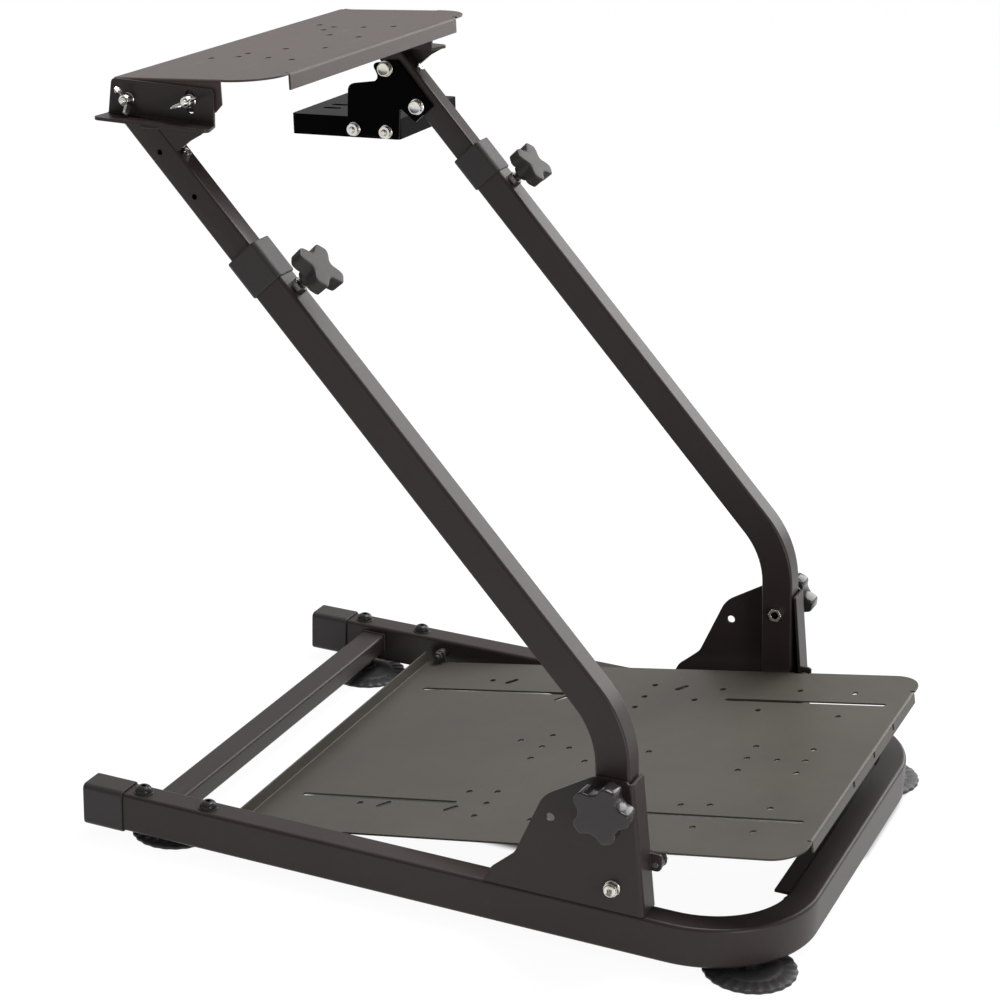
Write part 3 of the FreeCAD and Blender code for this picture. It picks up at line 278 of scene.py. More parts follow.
def powder_coat(name, colour, roughness, grain, cloud, gloss=0.28):
    """Baked powder coat: orange peel, a fine grain, faint clouds and a rubbed sheen."""
    material, tree, where = fresh_coat(name)
    clouds = tree.noise(where, 7.0, 3.0)
    patches = tree.noise(where, 38.0, 3.0, 0.6)
    peel = tree.noise(where, 300.0, 2.0, 0.4)
    specks = tree.noise(where, 1300.0, 2.0, 0.6)
    dust = tree.noise(where, 700.0, 3.0, 0.7).rise(0.63, 0.78)
    rub = tree.noise(tree.stretched(where, 14.0, 3.0, 30.0), 6.0, 4.0, 0.6).rise(0.6, 0.8)
    shade = clouds * cloud + patches * (cloud * 0.5) + specks * 0.16
    base = tree.blend(shade.rise(0.1, cloud * 1.1 + 0.16), rgba(colour, 0.8), rgba(colour, 1.2))
    base = tree.blend(dust * 0.1 + rub * 0.03, base, rgba(DUST_COLOUR))
    rough = roughness - rub * 0.05 + (specks - 0.5) * 0.12 + (clouds - 0.5) * 0.06
    normal = tree.bump(peel * 0.7 + specks * grain, COARSE_GRAIN, 0.4)
    tree.surface(Base_Color=base, Roughness=rough, Normal=normal, Specular_IOR_Level=gloss)
    return material


def gloss_paint(name, colour, gloss):
    """Sprayed gloss black: deep, with a slight ripple and a few dust specks."""
    material, tree, where = fresh_coat(name)
    ripple = tree.noise(where, 160.0, 2.0, 0.4)
    specks = tree.noise(where, 1500.0, 2.0).rise(0.66, 0.76)
    clouds = tree.noise(where, 12.0, 3.0)
    base = tree.blend(clouds * 0.6 + specks * 0.3, rgba(colour, 0.8), rgba(colour, 1.7))
    rough = 0.26 + clouds * 0.08 + specks * 0.2
    normal = tree.bump(ripple, PAINT_RIPPLE, 0.3)
    tree.surface(Base_Color=base, Roughness=rough, Normal=normal, Specular_IOR_Level=gloss)
    return material


def moulded(name, colour, roughness, texture, gloss=0.35):
    """Moulded plastic with a spark-eroded grain and faint clouds."""
    material, tree, where = fresh_coat(name)
    grain = {"Vector": where, "Scale": texture}
    cells = tree.node("ShaderNodeTexVoronoi", {"feature": "SMOOTH_F1"}, grain)
    fine = tree.noise(where, texture * 2.2, 3.0, 0.6)
    clouds = tree.noise(where, 26.0, 3.0)
    base = tree.blend(clouds * 0.7 + fine * 0.3, rgba(colour, 0.78), rgba(colour, 1.22))
    rough = roughness + (fine - 0.5) * 0.16 + (clouds - 0.5) * 0.08
    normal = tree.bump(cells * 0.7 + fine * 0.5, COARSE_GRAIN, 0.4)
    tree.surface(Base_Color=base, Roughness=rough, Normal=normal, Specular_IOR_Level=gloss)
    return material


def zinc_plate(name, colour, roughness):
    """Bright zinc on turned steel: fine tool lines, a straw cast and small stains."""
    material, tree, where = fresh_coat(name)
    lines = tree.noise(tree.stretched(where, 1.0, 9.0, 1.0), 900.0, 2.0, 0.6)
    cast = tree.noise(where, 110.0, 3.0)
    stain = tree.noise(where, 320.0, 3.0, 0.7).rise(0.58, 0.74)
    straw = rgba((colour[0] * 1.02, colour[1] * 0.97, colour[2] * 0.88))
    base = tree.blend(cast.rise(0.35, 0.65), rgba(colour, 1.04), straw)
    base = tree.blend(stain * 0.35, base, rgba(colour, 0.5))
    rough = roughness + lines * 0.1 + stain * 0.18
    normal = tree.bump(lines, TOOL_LINES, 0.4)
    tree.surface(Base_Color=base, Metallic=1.0, Roughness=rough, Normal=normal)
    return material


# ---------------------------------------------------------------- mesh makers


def neighbours(count):
    """Each place on a closed outline with the next one."""
    return [(i, (i + 1) % count) for i in range(count)]


def wrapped(rings, around):
    """Faces between each ring of points and the next one."""
    return [(low + i, low + j, low + around + j, low + around + i)
            for low in range(0, (rings - 1) * around, around) for i, j in neighbours(around)]


def skin(rings, around):
    """Points and faces of rings about local Z. A ring is (radius, height) in mm, and either may
    be a function of the angle in radians."""
    points = []
    for radius, height in rings:
        for i in range(around):
            angle = 2 * math.pi * i / around
            r = radius(angle) if callable(radius) else radius
            z = height(angle) if callable(height) else height
            points.append((r * math.cos(angle), r * math.sin(angle), z))
    return points, wrapped(len(rings), around)


def hexagon(corner, chamfer=0.0):
    """Radius of a hexagon over its corners, cut down to a chamfer circle where one is given."""

    def radius(angle):
        turned = (angle % (math.pi / 3)) - math.pi / 6
        flat = corner * math.cos(math.pi / 6) / math.cos(turned)
        return min(flat, chamfer) if chamfer else flat

    return radius


def thread(radius, low, high, pitch=1.0):
    """Rings of a thread drawn as ridges, with a chamfered end."""
    root, rings, z = radius - 0.35, [], low
    while z + pitch < high - 0.8:
        rings += [(root, z), (radius, z + pitch * 0.5)]
        z += pitch
    return rings + [(root, z), (radius - 0.3, high - 0.7), (radius - 0.9, high), (0.0, high)]


def nut_rings(corner, high, bore):
    """Rings of a hex nut with chamfered corners, from its seat up to its bore."""
    chamfer, edge = corner * 0.93, corner * 0.07
    return [(bore, 0.0), (chamfer, 0.0), (hexagon(corner), edge), (hexagon(corner), high - edge),
            (chamfer, high), (bore + 0.9, high), (bore, high - 0.6)]


def washer_rings(outer, inner, high):
    return [(inner, 0.0), (outer - 0.2, 0.0), (outer, 0.2), (outer, high - 0.3),
            (outer - 0.3, high), (inner, high)]


def rounded_box(deep, wide, corner):
    """Outline of a rounded rectangle about its middle, in mm, counter-clockwise."""
    steps, outline = 5, []
    for x, y, start in ((1, 1, 0), (-1, 1, 90), (-1, -1, 180), (1, -1, 270)):
        for i in range(steps + 1):
            angle = math.radians(start + 90 * i / steps)
            outline.append((x * (deep / 2 - corner) + corner * math.cos(angle),
                            y * (wide / 2 - corner) + corner * math.sin(angle)))
    return outline


def bead(path, radius, seed):
    """A laid weld bead along a path in metres: lapped ripples, closed at both ends."""
    step, lap, around = 0.0007, 0.0026, 10
    points, rings, done = [], 0, 0.0
    for a, b in zip(path, path[1:]):
        run = (b - a).length
        steps = max(2, int(run / step))
        along = (b - a).normalized()
        side = along.cross(ASKEW).normalized()
        up = along.cross(side)
        for i in range(steps + (1 if b is path[-1] else 0)):
            centre = a.lerp(b, i / steps)
            ripple = abs(math.sin((done + run * i / steps) * math.pi / lap))
            wobble = noise.noise(centre * 260 + Vector((seed, 0, 0))) * 0.22
            size = radius * MM * (0.8 + 0.22 * ripple + wobble)
            for k in range(around):
                angle = 2 * math.pi * k / around
                points.append(centre + (side * math.cos(angle) + up * math.sin(angle)) * size)
            rings += 1
        done += run
    last = (rings - 1) * around
    ends = [tuple(range(around)), tuple(range(last, last + around))]
    return points, wrapped(rings, around) + ends, Matrix.Identity(4)


def stood(at, out, spin=0.0, side=None):
    """Matrix that puts local Z along out at a point, in metres from millimetres."""
    out = Vector(out).normalized()
    side = Vector(side or ((0, 0, 1) if abs(out.z) < 0.9 else (1, 0, 0)))
    across = (side - out * side.dot(out)).normalized()
    third = out.cross(across)
    turn = Matrix((across, third, out)).transposed().to_4x4()
    return Matrix.Translation(at) @ turn @ Matrix.Rotation(spin, 4, "Z") @ Matrix.Scale(MM, 4)


def joined(parts):
    """One bmesh of several (points, faces, matrix)."""
    mesh = bmesh.new()
    for points, faces, matrix in parts:
        corners = [mesh.verts.new(matrix @ Vector(point)) for point in points]
        for face in faces:
            mesh.faces.new([corners[i] for i in face])
    return mesh


def linked(name, mesh):
    """A new object in the scene from a bmesh, which is freed."""
    data = bpy.data.meshes.new(name)
    mesh.to_mesh(data)
    mesh.free()
    if not data.polygons:
        raise RuntimeError(f"{name} came out with no faces")
    made = bpy.data.objects.new(name, data)
    bpy.context.scene.collection.objects.link(made)
    return made


def modify(made, name, kind, **settings):
    modifier = made.modifiers.new(name, kind)
    for setting, value in settings.items():
        setattr(modifier, setting, value)


def piece(name, parts, body, finish, slot=None, replaces=(), sharp=40):
    """One mesh from several (points, faces, matrix), welded and riding on a body. Its slot
    argument is not used. Edges that turn by sharp degrees or more stay crisp."""
    slot = slot or finish
    mesh = joined(parts)
    bmesh.ops.remove_doubles(mesh, verts=mesh.verts, dist=WELD_WITHIN)
    bmesh.ops.dissolve_degenerate(mesh, dist=LEAST_EDGE, edges=mesh.edges)
    bmesh.ops.recalc_face_normals(mesh, faces=mesh.faces)
    limit = math.radians(sharp)
    for edge in mesh.edges:
        edge.smooth = len(edge.link_faces) == 2 and edge.calc_face_angle(0.0) < limit
    for face in mesh.faces:
        face.smooth = True
    made = linked(name, mesh)
    made.data.materials.append(FINISHES[finish])
    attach(made, body)
    if replaces:
        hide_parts(*replaces)
    return made


# ---------------------------------------------------------------- sizes and colours


class CoatingSettings(bpy.types.PropertyGroup):
    """Colours and edge sizes of the coated and moulded parts."""

    frame_colour: FloatVectorProperty(
        name="Frame coat", description="Satin powder coat of the tubes and brackets",
        default=(0.0268, 0.0192, 0.0182), subtype="COLOR", min=0.0, max=1.0)
    # The wheel plate and the pedal plate share one coat. Their colours differ as painted light: the
    # wheel plate's is warmer and the pedal plate's greener, standing in for the light's tint on
    # each side.
    wheel_colour_warm_light_tint: FloatVectorProperty(
        name="Wheel plate coat", description="Fine-textured coat of the wheel plate",
        default=(0.052, 0.038, 0.034), subtype="COLOR", min=0.0, max=1.0)
    pedal_colour_green_light_tint: FloatVectorProperty(
        name="Pedal plate coat", description="Fine-textured coat of the pedal plate",
        default=(0.056, 0.050, 0.041), subtype="COLOR", min=0.0, max=1.0)
    mount_colour: FloatVectorProperty(
        name="Shifter mount paint", description="Gloss black of the shifter hanger and tray",
        default=(0.0006, 0.0006, 0.0006), subtype="COLOR", min=0.0, max=1.0)
    plastic_colour: FloatVectorProperty(
        name="Caps and collars", description="Moulded end caps and arm collars",
        default=(0.031, 0.026, 0.026), subtype="COLOR", min=0.0, max=1.0)
    knob_colour: FloatVectorProperty(
        name="Knobs", description="Moulded star knobs",
        default=(0.036, 0.031, 0.031), subtype="COLOR", min=0.0, max=1.0)
    gloss_knob_colour: FloatVectorProperty(
        name="Lock knobs", description="Polished plastic of the folding lock knobs",
        default=(0.026, 0.022, 0.023), subtype="COLOR", min=0.0, max=1.0)
    foot_colour: FloatVectorProperty(
        name="Feet", description="Moulded levelling feet",
        default=(0.034, 0.032, 0.034), subtype="COLOR", min=0.0, max=1.0)
    zinc_colour: FloatVectorProperty(
        name="Zinc", description="Bright zinc plate of the fasteners",
        default=(0.68, 0.68, 0.67), subtype="COLOR", min=0.0, max=1.0)
    # Zinc darkened as painted shade for the nuts, bolts and knob screws in the shade of other
    # parts; it is also rougher than the bright zinc.
    shaded_zinc_colour: FloatVectorProperty(
        name="Dull zinc", description="Dulled zinc of nuts and bolts in the shade of other parts",
        default=(0.17, 0.165, 0.16), subtype="COLOR", min=0.0, max=1.0)
    oxide_colour: FloatVectorProperty(
        name="Black bolts", description="Blackened steel of the rail bolts and foot studs",
        default=(0.016, 0.015, 0.015), subtype="COLOR", min=0.0, max=1.0)
    frame_edge: FloatProperty(
        name="Tube edge", description="Rounding of cut edges on tubes and brackets",
        default=0.0005, min=0.0, max=0.002, unit="LENGTH")
    plate_edge: FloatProperty(
        name="Plate edge", description="Rounding of sheared edges on the plates",
        default=0.0004, min=0.0, max=0.002, unit="LENGTH")
    plastic_edge: FloatProperty(
        name="Plastic edge", description="Rounding of moulded edges",
        default=0.0012, min=0.0, max=0.003, unit="LENGTH")


class FastenerSettings(bpy.types.PropertyGroup):
    """Sizes of the knobs, feet, nuts and bolts."""

    lock_span: FloatProperty(
        name="Lock knob", description="Diameter of a folding lock knob over its lobes",
        default=0.0545, min=0.03, max=0.08, unit="LENGTH")
    lock_lobes: IntProperty(
        name="Lock knob lobes", description="Lobes of a folding lock knob", default=5, min=3, max=8)
    lock_lobe: FloatProperty(
        name="Lock knob lobe", description="Width of a folding lock knob's lobe",
        default=0.0165, min=0.008, max=0.03, unit="LENGTH")
    lock_core: FloatProperty(
        name="Lock knob core", description="Radius of a folding lock knob between its lobes",
        default=0.0205, min=0.01, max=0.03, unit="LENGTH")
    height_span: FloatProperty(
        name="Height knob", description="Diameter of a height knob over its lobes",
        default=0.0498, min=0.03, max=0.08, unit="LENGTH")
    height_lobes: IntProperty(
        name="Height knob lobes", description="Lobes of a height knob", default=4, min=3, max=8)
    height_lobe: FloatProperty(
        name="Height knob lobe", description="Width of a height knob's lobe",
        default=0.0164, min=0.008, max=0.03, unit="LENGTH")
    height_core: FloatProperty(
        name="Height knob core", description="Radius of a height knob between its lobes",
        default=0.0142, min=0.01, max=0.03, unit="LENGTH")
    foot_span: FloatProperty(
        name="Foot", description="Diameter of a levelling foot",
        default=0.088, min=0.04, max=0.12, unit="LENGTH")
    foot_ribs: IntProperty(
        name="Foot ribs", description="Ribs round the rim of a foot", default=24, min=8, max=48)
    rail_bolt: FloatProperty(
        name="Rail bolt head", description="Diameter of the domed bolts on the rails",
        default=0.0165, min=0.006, max=0.02, unit="LENGTH")
    wing_reach: FloatProperty(
        name="Wing reach", description="From the middle of a wing nut to its tip",
        default=0.0135, min=0.008, max=0.02, unit="LENGTH")
    tube_corner: FloatProperty(
        name="Inner tube corner", description="Outer corner radius of the sliding tubes",
        default=0.0025, min=0.001, max=0.006, unit="LENGTH")
    side_hole: FloatProperty(
        name="Side hole", description="Diameter of the holes in the sides of the sliding tubes",
        default=0.0052, min=0.002, max=0.01, unit="LENGTH")
    hole_shift: FloatProperty(
        name="Side hole shift", description="From the tube's middle towards its front",
        default=-0.0015, min=-0.006, max=0.006, unit="LENGTH")
    screw_drop: FloatProperty(
        name="Top screw", description="From the top of a sliding tube down to its screw",
        default=0.030, min=0.008, max=0.06, unit="LENGTH")
    gusset_long: FloatProperty(
        name="Gusset length", description="Length of the webs along the underside of the ledges",
        default=0.045, min=0.01, max=0.05, unit="LENGTH")
    gusset_high: FloatProperty(
        name="Gusset height", description="Depth of the webs under the ledges",
        default=0.019, min=0.005, max=0.03, unit="LENGTH")
    weld_size: FloatProperty(
        name="Head weld", description="Half the width of the weld beads under the head",
        default=0.0019, min=0.0008, max=0.003, unit="LENGTH")
    hanger_bolt: FloatProperty(
        name="Hanger bolt", description="Hex heads on the shifter hanger, over the corners",
        default=0.0150, min=0.008, max=0.02, unit="LENGTH")


class StudioSettings(bpy.types.PropertyGroup):
    """The camera and the light."""

    lens: FloatProperty(
        name="Focal length", description="Lens on a 36 mm wide frame",
        default=88.965, min=20.0, max=200.0, unit="CAMERA")
    key_power: FloatProperty(
        name="Top light", description="Power of the large light behind and above",
        default=80.0, min=0.0, max=500.0, unit="POWER")
    back_power: FloatProperty(
        name="Back light", description="Power of the soft light behind on the right",
        default=48.0, min=0.0, max=500.0, unit="POWER")
    corner_power: FloatProperty(
        name="Corner light", description="Power of the soft light at the front right",
        default=25.0, min=0.0, max=500.0, unit="POWER")
    front_level: FloatProperty(
        name="Front level", description="Brightness of the studio on the viewer's side",
        default=0.2, min=0.0, max=1.0, subtype="FACTOR")
    back_level: FloatProperty(
        name="Back level", description="Brightness of the studio behind the stand",
        default=0.5, min=0.0, max=1.0, subtype="FACTOR")
    floor_glow: FloatProperty(
        name="Floor glow", description="Share of the floor's white that no shadow reaches",
        default=0.86, min=0.0, max=1.0, subtype="FACTOR")


# ---------------------------------------------------------------- operators


class StandCamera(bpy.types.Operator):
    """Set the camera where the stand is seen from its front right corner"""

    bl_idname = "stand.camera"
    bl_label = "Camera"

    def execute(self, context):
        data = bpy.data.cameras.new("view")
        data.sensor_width = 36.0
        data.lens = context.scene.stand_studio.lens
        data.clip_start, data.clip_end = 0.05, 60.0
        camera = bpy.data.objects.new("view", data)
        right = Vector((0.9159687, 0.40036898, 0.02657119))
        down = Vector((0.16175173, -0.3078326, -0.93759025))
        ahead = Vector((-0.36720257, 0.86310125, -0.3467254))
        turn = Matrix((right, -down, -ahead)).transposed().to_4x4()
        camera.matrix_world = Matrix.Translation(stand(*CAMERA_PLACE)) @ turn
        context.scene.collection.objects.link(camera)
        context.scene.camera = camera
        return {"FINISHED"}


class StandCoatings(bpy.types.Operator):
    """Coat the steel, plastic and zinc parts and round their cut edges"""

    bl_idname = "stand.coatings"
    bl_label = "Coatings"

    def execute(self, context):
        s = context.scene.stand_coatings
        plate = {"roughness": 0.44, "grain": 0.9, "cloud": 0.7}
        FINISHES.update({
            "frame_black": powder_coat("satin_frame_coat", s.frame_colour, roughness=0.38,
                                       grain=0.3, cloud=0.5),
            # Two tinted copies of one plate coat: the tint between them is painted light.
            "wheel_plate": powder_coat("wheel_plate_coat", s.wheel_colour_warm_light_tint, **plate),
            "plate_black": powder_coat("pedal_plate_coat", s.pedal_colour_green_light_tint, **plate),
            "shifter_black": gloss_paint("gloss_mount_paint", s.mount_colour, gloss=0.02),
            "plastic_black": moulded("cap_plastic", s.plastic_colour, roughness=0.5,
                                     texture=900.0),
            "foot_plastic": moulded("foot_plastic_grain", s.foot_colour, roughness=0.42,
                                    texture=700.0),
            "knob_plastic": moulded("knob_plastic_grain", s.knob_colour, roughness=0.46,
                                    texture=1000.0, gloss=0.22),
            "knob_gloss": moulded("knob_gloss_plastic", s.gloss_knob_colour, roughness=0.17,
                                  texture=300.0, gloss=0.42),
            "zinc_steel": zinc_plate("bright_zinc", s.zinc_colour, roughness=0.2),
            "dull_zinc": zinc_plate("dull_zinc", s.shaded_zinc_colour, roughness=0.34),
            "black_oxide": gloss_paint("black_oxide", s.oxide_colour, gloss=0.3),
        })
        edges = {"frame_black": s.frame_edge, "plastic_black": s.plastic_edge,
                 "knob_plastic": s.plastic_edge}
        for name, node in NODES.items():
            for holder in node.material_slots:
                slot = holder.material.name.split(".")[0]
                if slot not in FINISHES:
                    raise RuntimeError(f"{name} has no finish for {slot}")
                # Zinc nodes in the shade of other parts take the darker zinc: painted shade.
                finish = "dull_zinc" if name.startswith(SHADED_ZINC_NODES) else slot
                holder.material = FINISHES[name if name in FINISHES else finish]
            modify(node, "closed_skin", "WELD", merge_threshold=1e-5)
            modify(node, "joined_flats", "DECIMATE", decimate_type="DISSOLVE",
                   angle_limit=math.radians(0.6))
            modify(node, "eased_edges", "BEVEL", width=edges.get(slot, s.plate_edge),
                   segments=2, limit_method="ANGLE", angle_limit=math.radians(42),
                   use_clamp_overlap=False, face_strength_mode="FSTR_ALL")
            modify(node, "flat_faces", "WEIGHTED_NORMAL", use_face_influence=True, weight=100)
        return {"FINISHED"}


class StandInnerArms(bpy.types.Operator):
    """Draw the sliding inner tubes with their side holes, top screws and weld beads"""

    bl_idname = "stand.inner_arms"
    bl_label = "Inner arms"

    def execute(self, context):
        s = context.scene.stand_fasteners
        along = joint_axis("height_slide")
        out = Vector((along.z, 0, -along.x))
        head = skin([(0.0, -0.3), (hexagon(4.6, 4.3), 0.0), (hexagon(4.6), 0.4),
                     (hexagon(4.6), 2.4), (4.2, 3.0), (2.8, 3.1), (2.3, 2.6), (0.0, 2.4)], 48)
        beads = []
        for name, side in SIDES.items():
            node = f"inner_arm_{name}"
            low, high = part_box(node)
            across = Vector((0, side, 0))
            start = Vector((0, (low.y + high.y) / 2, 0))
            back, front = reach_along(node, out, start)
            bottom = reach_along(node, along, start)[0]
            face, centre = (high.y - low.y) / MM / 2, (front + back) / 2

            def at(o, a, y):
                """The point o mm forward of the tube's line, a mm up it and y mm to its side."""
                return start + (out * o + along * a + across * y) * MM

            def top(o):
                """How far up its line the tube's level top lies, o mm forward."""
                return (high.z - start.z - out.z * o * MM) / (along.z * MM)

            points, faces = [], []
            for inset in (0.0, TUBE_WALL):
                corner = max(LEAST_CORNER, s.tube_corner / MM - inset)
                for o, y in rounded_box(front - back - 2 * inset, 2 * (face - inset), corner):
                    points += [at(centre + o, bottom, y), at(centre + o, top(centre + o), y)]
            inner = len(points) // 2
            for i, j in neighbours(inner // 2):
                i, j = 2 * i, 2 * j
                faces += [(i, j, j + 1, i + 1),
                          (inner + i, inner + i + 1, inner + j + 1, inner + j),
                          (i, inner + i, inner + j, j),
                          (i + 1, j + 1, inner + j + 1, inner + i + 1)]
            tube = piece(f"tube_{node}", [(points, faces, Matrix.Identity(4))], "head",
                         "frame_black", replaces=(node,), sharp=50)
            hole = centre + s.hole_shift / MM
            spots = [at(hole, top(centre) - drop, face) for drop in SIDE_HOLE_DROPS]
            self.drill(tube, spots, across, s.side_hole / MM / 2)
            screw = stood(at(front, top(front) - s.screw_drop / MM, 0), out, spin=0.35)
            piece(f"screw_{node}", [(*head, screw)], "head", "zinc_steel", sharp=32)
            sunk, turn = Vector((0, 0, 0.6 * MM)), 2
            path = [at(o, top(o), y) - sunk for o, y in (
                (centre, face), (front - turn, face), (front, face - turn), (front, turn - face))]
            beads.append(bead(path, s.weld_size / MM, seed=5.0 + side))
        piece("head_welds", beads, "head", "frame_black", sharp=60)
        self.gussets(s.gusset_long / MM, s.gusset_high / MM, along)
        return {"FINISHED"}

    def drill(self, tube, spots, direction, radius):
        """Cut round holes through one wall of the tube."""
        around, reach = 28, 2.6
        points, faces = skin([(radius, -reach), (radius, reach)], around)
        faces += [tuple(range(around))[::-1], tuple(range(around, 2 * around))]
        mesh = joined([(points, faces, stood(spot, direction)) for spot in spots])
        bmesh.ops.recalc_face_normals(mesh, faces=mesh.faces)
        cutter = linked("drill", mesh)
        modify(tube, "holes", "BOOLEAN", operation="DIFFERENCE", solver="EXACT", object=cutter)
        bpy.context.view_layer.update()
        drilled = tube.evaluated_get(bpy.context.evaluated_depsgraph_get())
        whole, tube.data = tube.data, bpy.data.meshes.new_from_object(drilled)
        tube.modifiers.clear()
        spent = (cutter.data, whole)
        bpy.data.objects.remove(cutter)
        for data in spent:
            bpy.data.meshes.remove(data)

    def gussets(self, long, high, along):
        """Web the corner between each tube's front and the ledge of the bracket above it."""
        thick, setback, apart, inward = 3.0, 0.004, 0.0002, 0.0004
        foot = high * abs(along.x / along.z) - long
        web = [(0, 0), (-long, 0), (foot, -high), (foot + 2, -high),
               (foot * 0.5, -high * 0.47), (-2, -2)]
        ends = [tuple(range(len(web))), tuple(range(len(web), 2 * len(web)))]
        for name, side in SIDES.items():
            low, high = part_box(f"wheel_bracket_{name}")
            outer = widths(f"inner_arm_{name}", side)[1] - side * inward
            tip = Vector((high.x - setback, outer, low.z + apart))
            points = [(x, y, z) for y in (0.0, -side * thick) for x, z in web]
            matrix = Matrix.Translation(tip) @ Matrix.Scale(MM, 4)
            made = piece(f"gusset_{name}", [(points, ends + wrapped(2, len(web)), matrix)],
                         "head", "frame_black", sharp=20)
            modify(made, "eased_edges", "BEVEL", width=0.0003, segments=2,
                   angle_limit=math.radians(30))


class StandKnobs(bpy.types.Operator):
    """Mould the four star knobs, each with its screw"""

    bl_idname = "stand.knobs"
    bl_label = "Star knobs"

    def execute(self, context):
        s = context.scene.stand_fasteners
        # Outline, finish, height where the lobes begin, and rings of the waist below them.
        kinds = {
            "lock": (self.star(s.lock_span, s.lock_lobe, s.lock_core, s.lock_lobes),
                     "knob_gloss", 6.0, []),
            "height": (self.star(s.height_span, s.height_lobe, s.height_core, s.height_lobes),
                       "knob_plastic", 11.9, [(9.6, 8.6), (10.6, 10.6)]),
        }
        top = KNOB_HIGH
        ridges = [(4.9 - 0.75 * (i % 2), 0.2 + 0.75 * i) for i in range(7)]
        for node, spin in KNOB_SPINS.items():
            kind, _, side = node.split("_")
            star, finish, back, waist = kinds[kind]
            nut, out = middle(f"{kind}_nut_{side}"), joint_axis(f"{kind}_knob_turn_{side}")
            tip, face = reach_along(node, out, nut)
            base = face - top
            matrix = stood(nut + out * base * MM, out, spin)
            rings = [
                (4.9, 4.6), (8.4, 4.6), (8.9, 5.1), *waist, (star(-9.0, 0.8), back),
                (star(-5.0, 0.45), back + 0.4), (star(-2.2), back + 0.8),
                (star(-1.0), back + 1.3), (star(-0.5), back + 2.2), (star(0.0), top - 1.7),
                (star(-0.2), top - 1.1), (star(-0.7), top - 0.6), (star(-1.4), top - 0.3),
                (star(-2.4), top - 0.15), (star(-4.5, 0.1), top - 0.05), (8.0, top), (0.0, top),
            ]
            knob = piece(f"star_{node}", [(*skin(rings, 160), matrix)], node, finish,
                         "knob_plastic", (node,), sharp=48)
            end = tip - base
            screw = skin([(0.0, end), (2.6, end), (3.9, end + 1.0), (3.9, 0.0), *ridges,
                          (4.2, 5.2)], 28)
            # Knob screws take the darker zinc: painted shade.
            threads = piece(f"screw_{node}", [(*screw, matrix)], node, "dull_zinc", "zinc_steel")
            threads.parent = knob
        return {"FINISHED"}

    def star(self, span, lobe, core, lobes):
        """Makes outlines of the lobes, grown by grow mm and drawn by circle, 0 to 1, to a circle
        that lies within them."""
        reach, half, core = span / MM / 2, lobe / MM / 2, core / MM
        square, fillet, within = 4.6, 9, 12.5

        def outline(grow, circle=0.0):
            def radius(angle):
                part = 2 * math.pi / lobes
                turned = (angle + part / 2) % part - part / 2
                flank = (abs(math.cos(turned) / reach) ** square
                         + abs(math.sin(turned) / half) ** square)
                size = (flank ** (-fillet / square) + core ** fillet) ** (1 / fillet) + grow
                return size * (1 - circle) + within * circle

            return radius

        return outline


class StandFeet(bpy.types.Operator):
    """Mould the four ribbed levelling feet on their studs"""

    bl_idname = "stand.feet"
    bl_label = "Levelling feet"

    def execute(self, context):
        s = context.scene.stand_fasteners
        rim, ribs = s.foot_span / MM / 2, s.foot_ribs

        def wave(angle):
            return 0.5 + 0.5 * math.cos(ribs * angle)

        def scallop(size, deep):
            return lambda angle: size - deep * (1 - wave(angle))

        def ridge(height, rise):
            return lambda angle: height + rise * wave(angle) ** 2

        disc = skin([
            (0.0, 0.9), (rim - 9, 0.9), (rim - 7, 0.0), (scallop(rim - 1.2, 0.7), 0.0),
            (scallop(rim - 0.2, 0.9), 0.7), (scallop(rim, 1.1), 2.6),
            (scallop(rim - 0.9, 1.0), 3.5), (rim - 2.6, ridge(3.6, 0.4)),
            (rim - 5, ridge(4.1, 0.6)), (rim - 12, ridge(4.6, 0.5)),
            (rim - 14.5, ridge(4.8, 0.1)), (rim - 15.5, 5.3), (rim - 19, 5.7), (14.0, 5.9),
            (12.5, 5.3), (10.5, 5.2), (9.4, 5.4), (0.0, 5.4),
        ], ribs * 8)
        nut = skin([(0.0, 5.2), (hexagon(9.2, 8.6), 5.2), (hexagon(9.2), 5.8),
                    (hexagon(9.2), 9.6), (hexagon(9.2, 8.5), 10.3), (5.2, 10.3), (4.2, 9.9)], 48)
        for place in ("front_near", "front_far", "rear_near", "rear_far"):
            node = f"foot_{place}"
            low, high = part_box(node)
            at = Vector(((low.x + high.x) / 2, (low.y + high.y) / 2, low.z))
            stud = skin(thread(4.0, 5.4, (high.z - low.z) / MM, 1.25), 24)
            piece(f"ribbed_{node}", [(*disc, stood(at, UP))], "base", "foot_plastic",
                  replaces=(node,), sharp=36)
            parts = [(*nut, stood(at, UP, spin=0.4)), (*stud, stood(at, UP))]
            piece(f"stud_{node}", parts, "base", "black_oxide", "zinc_steel", sharp=30)
        return {"FINISHED"}


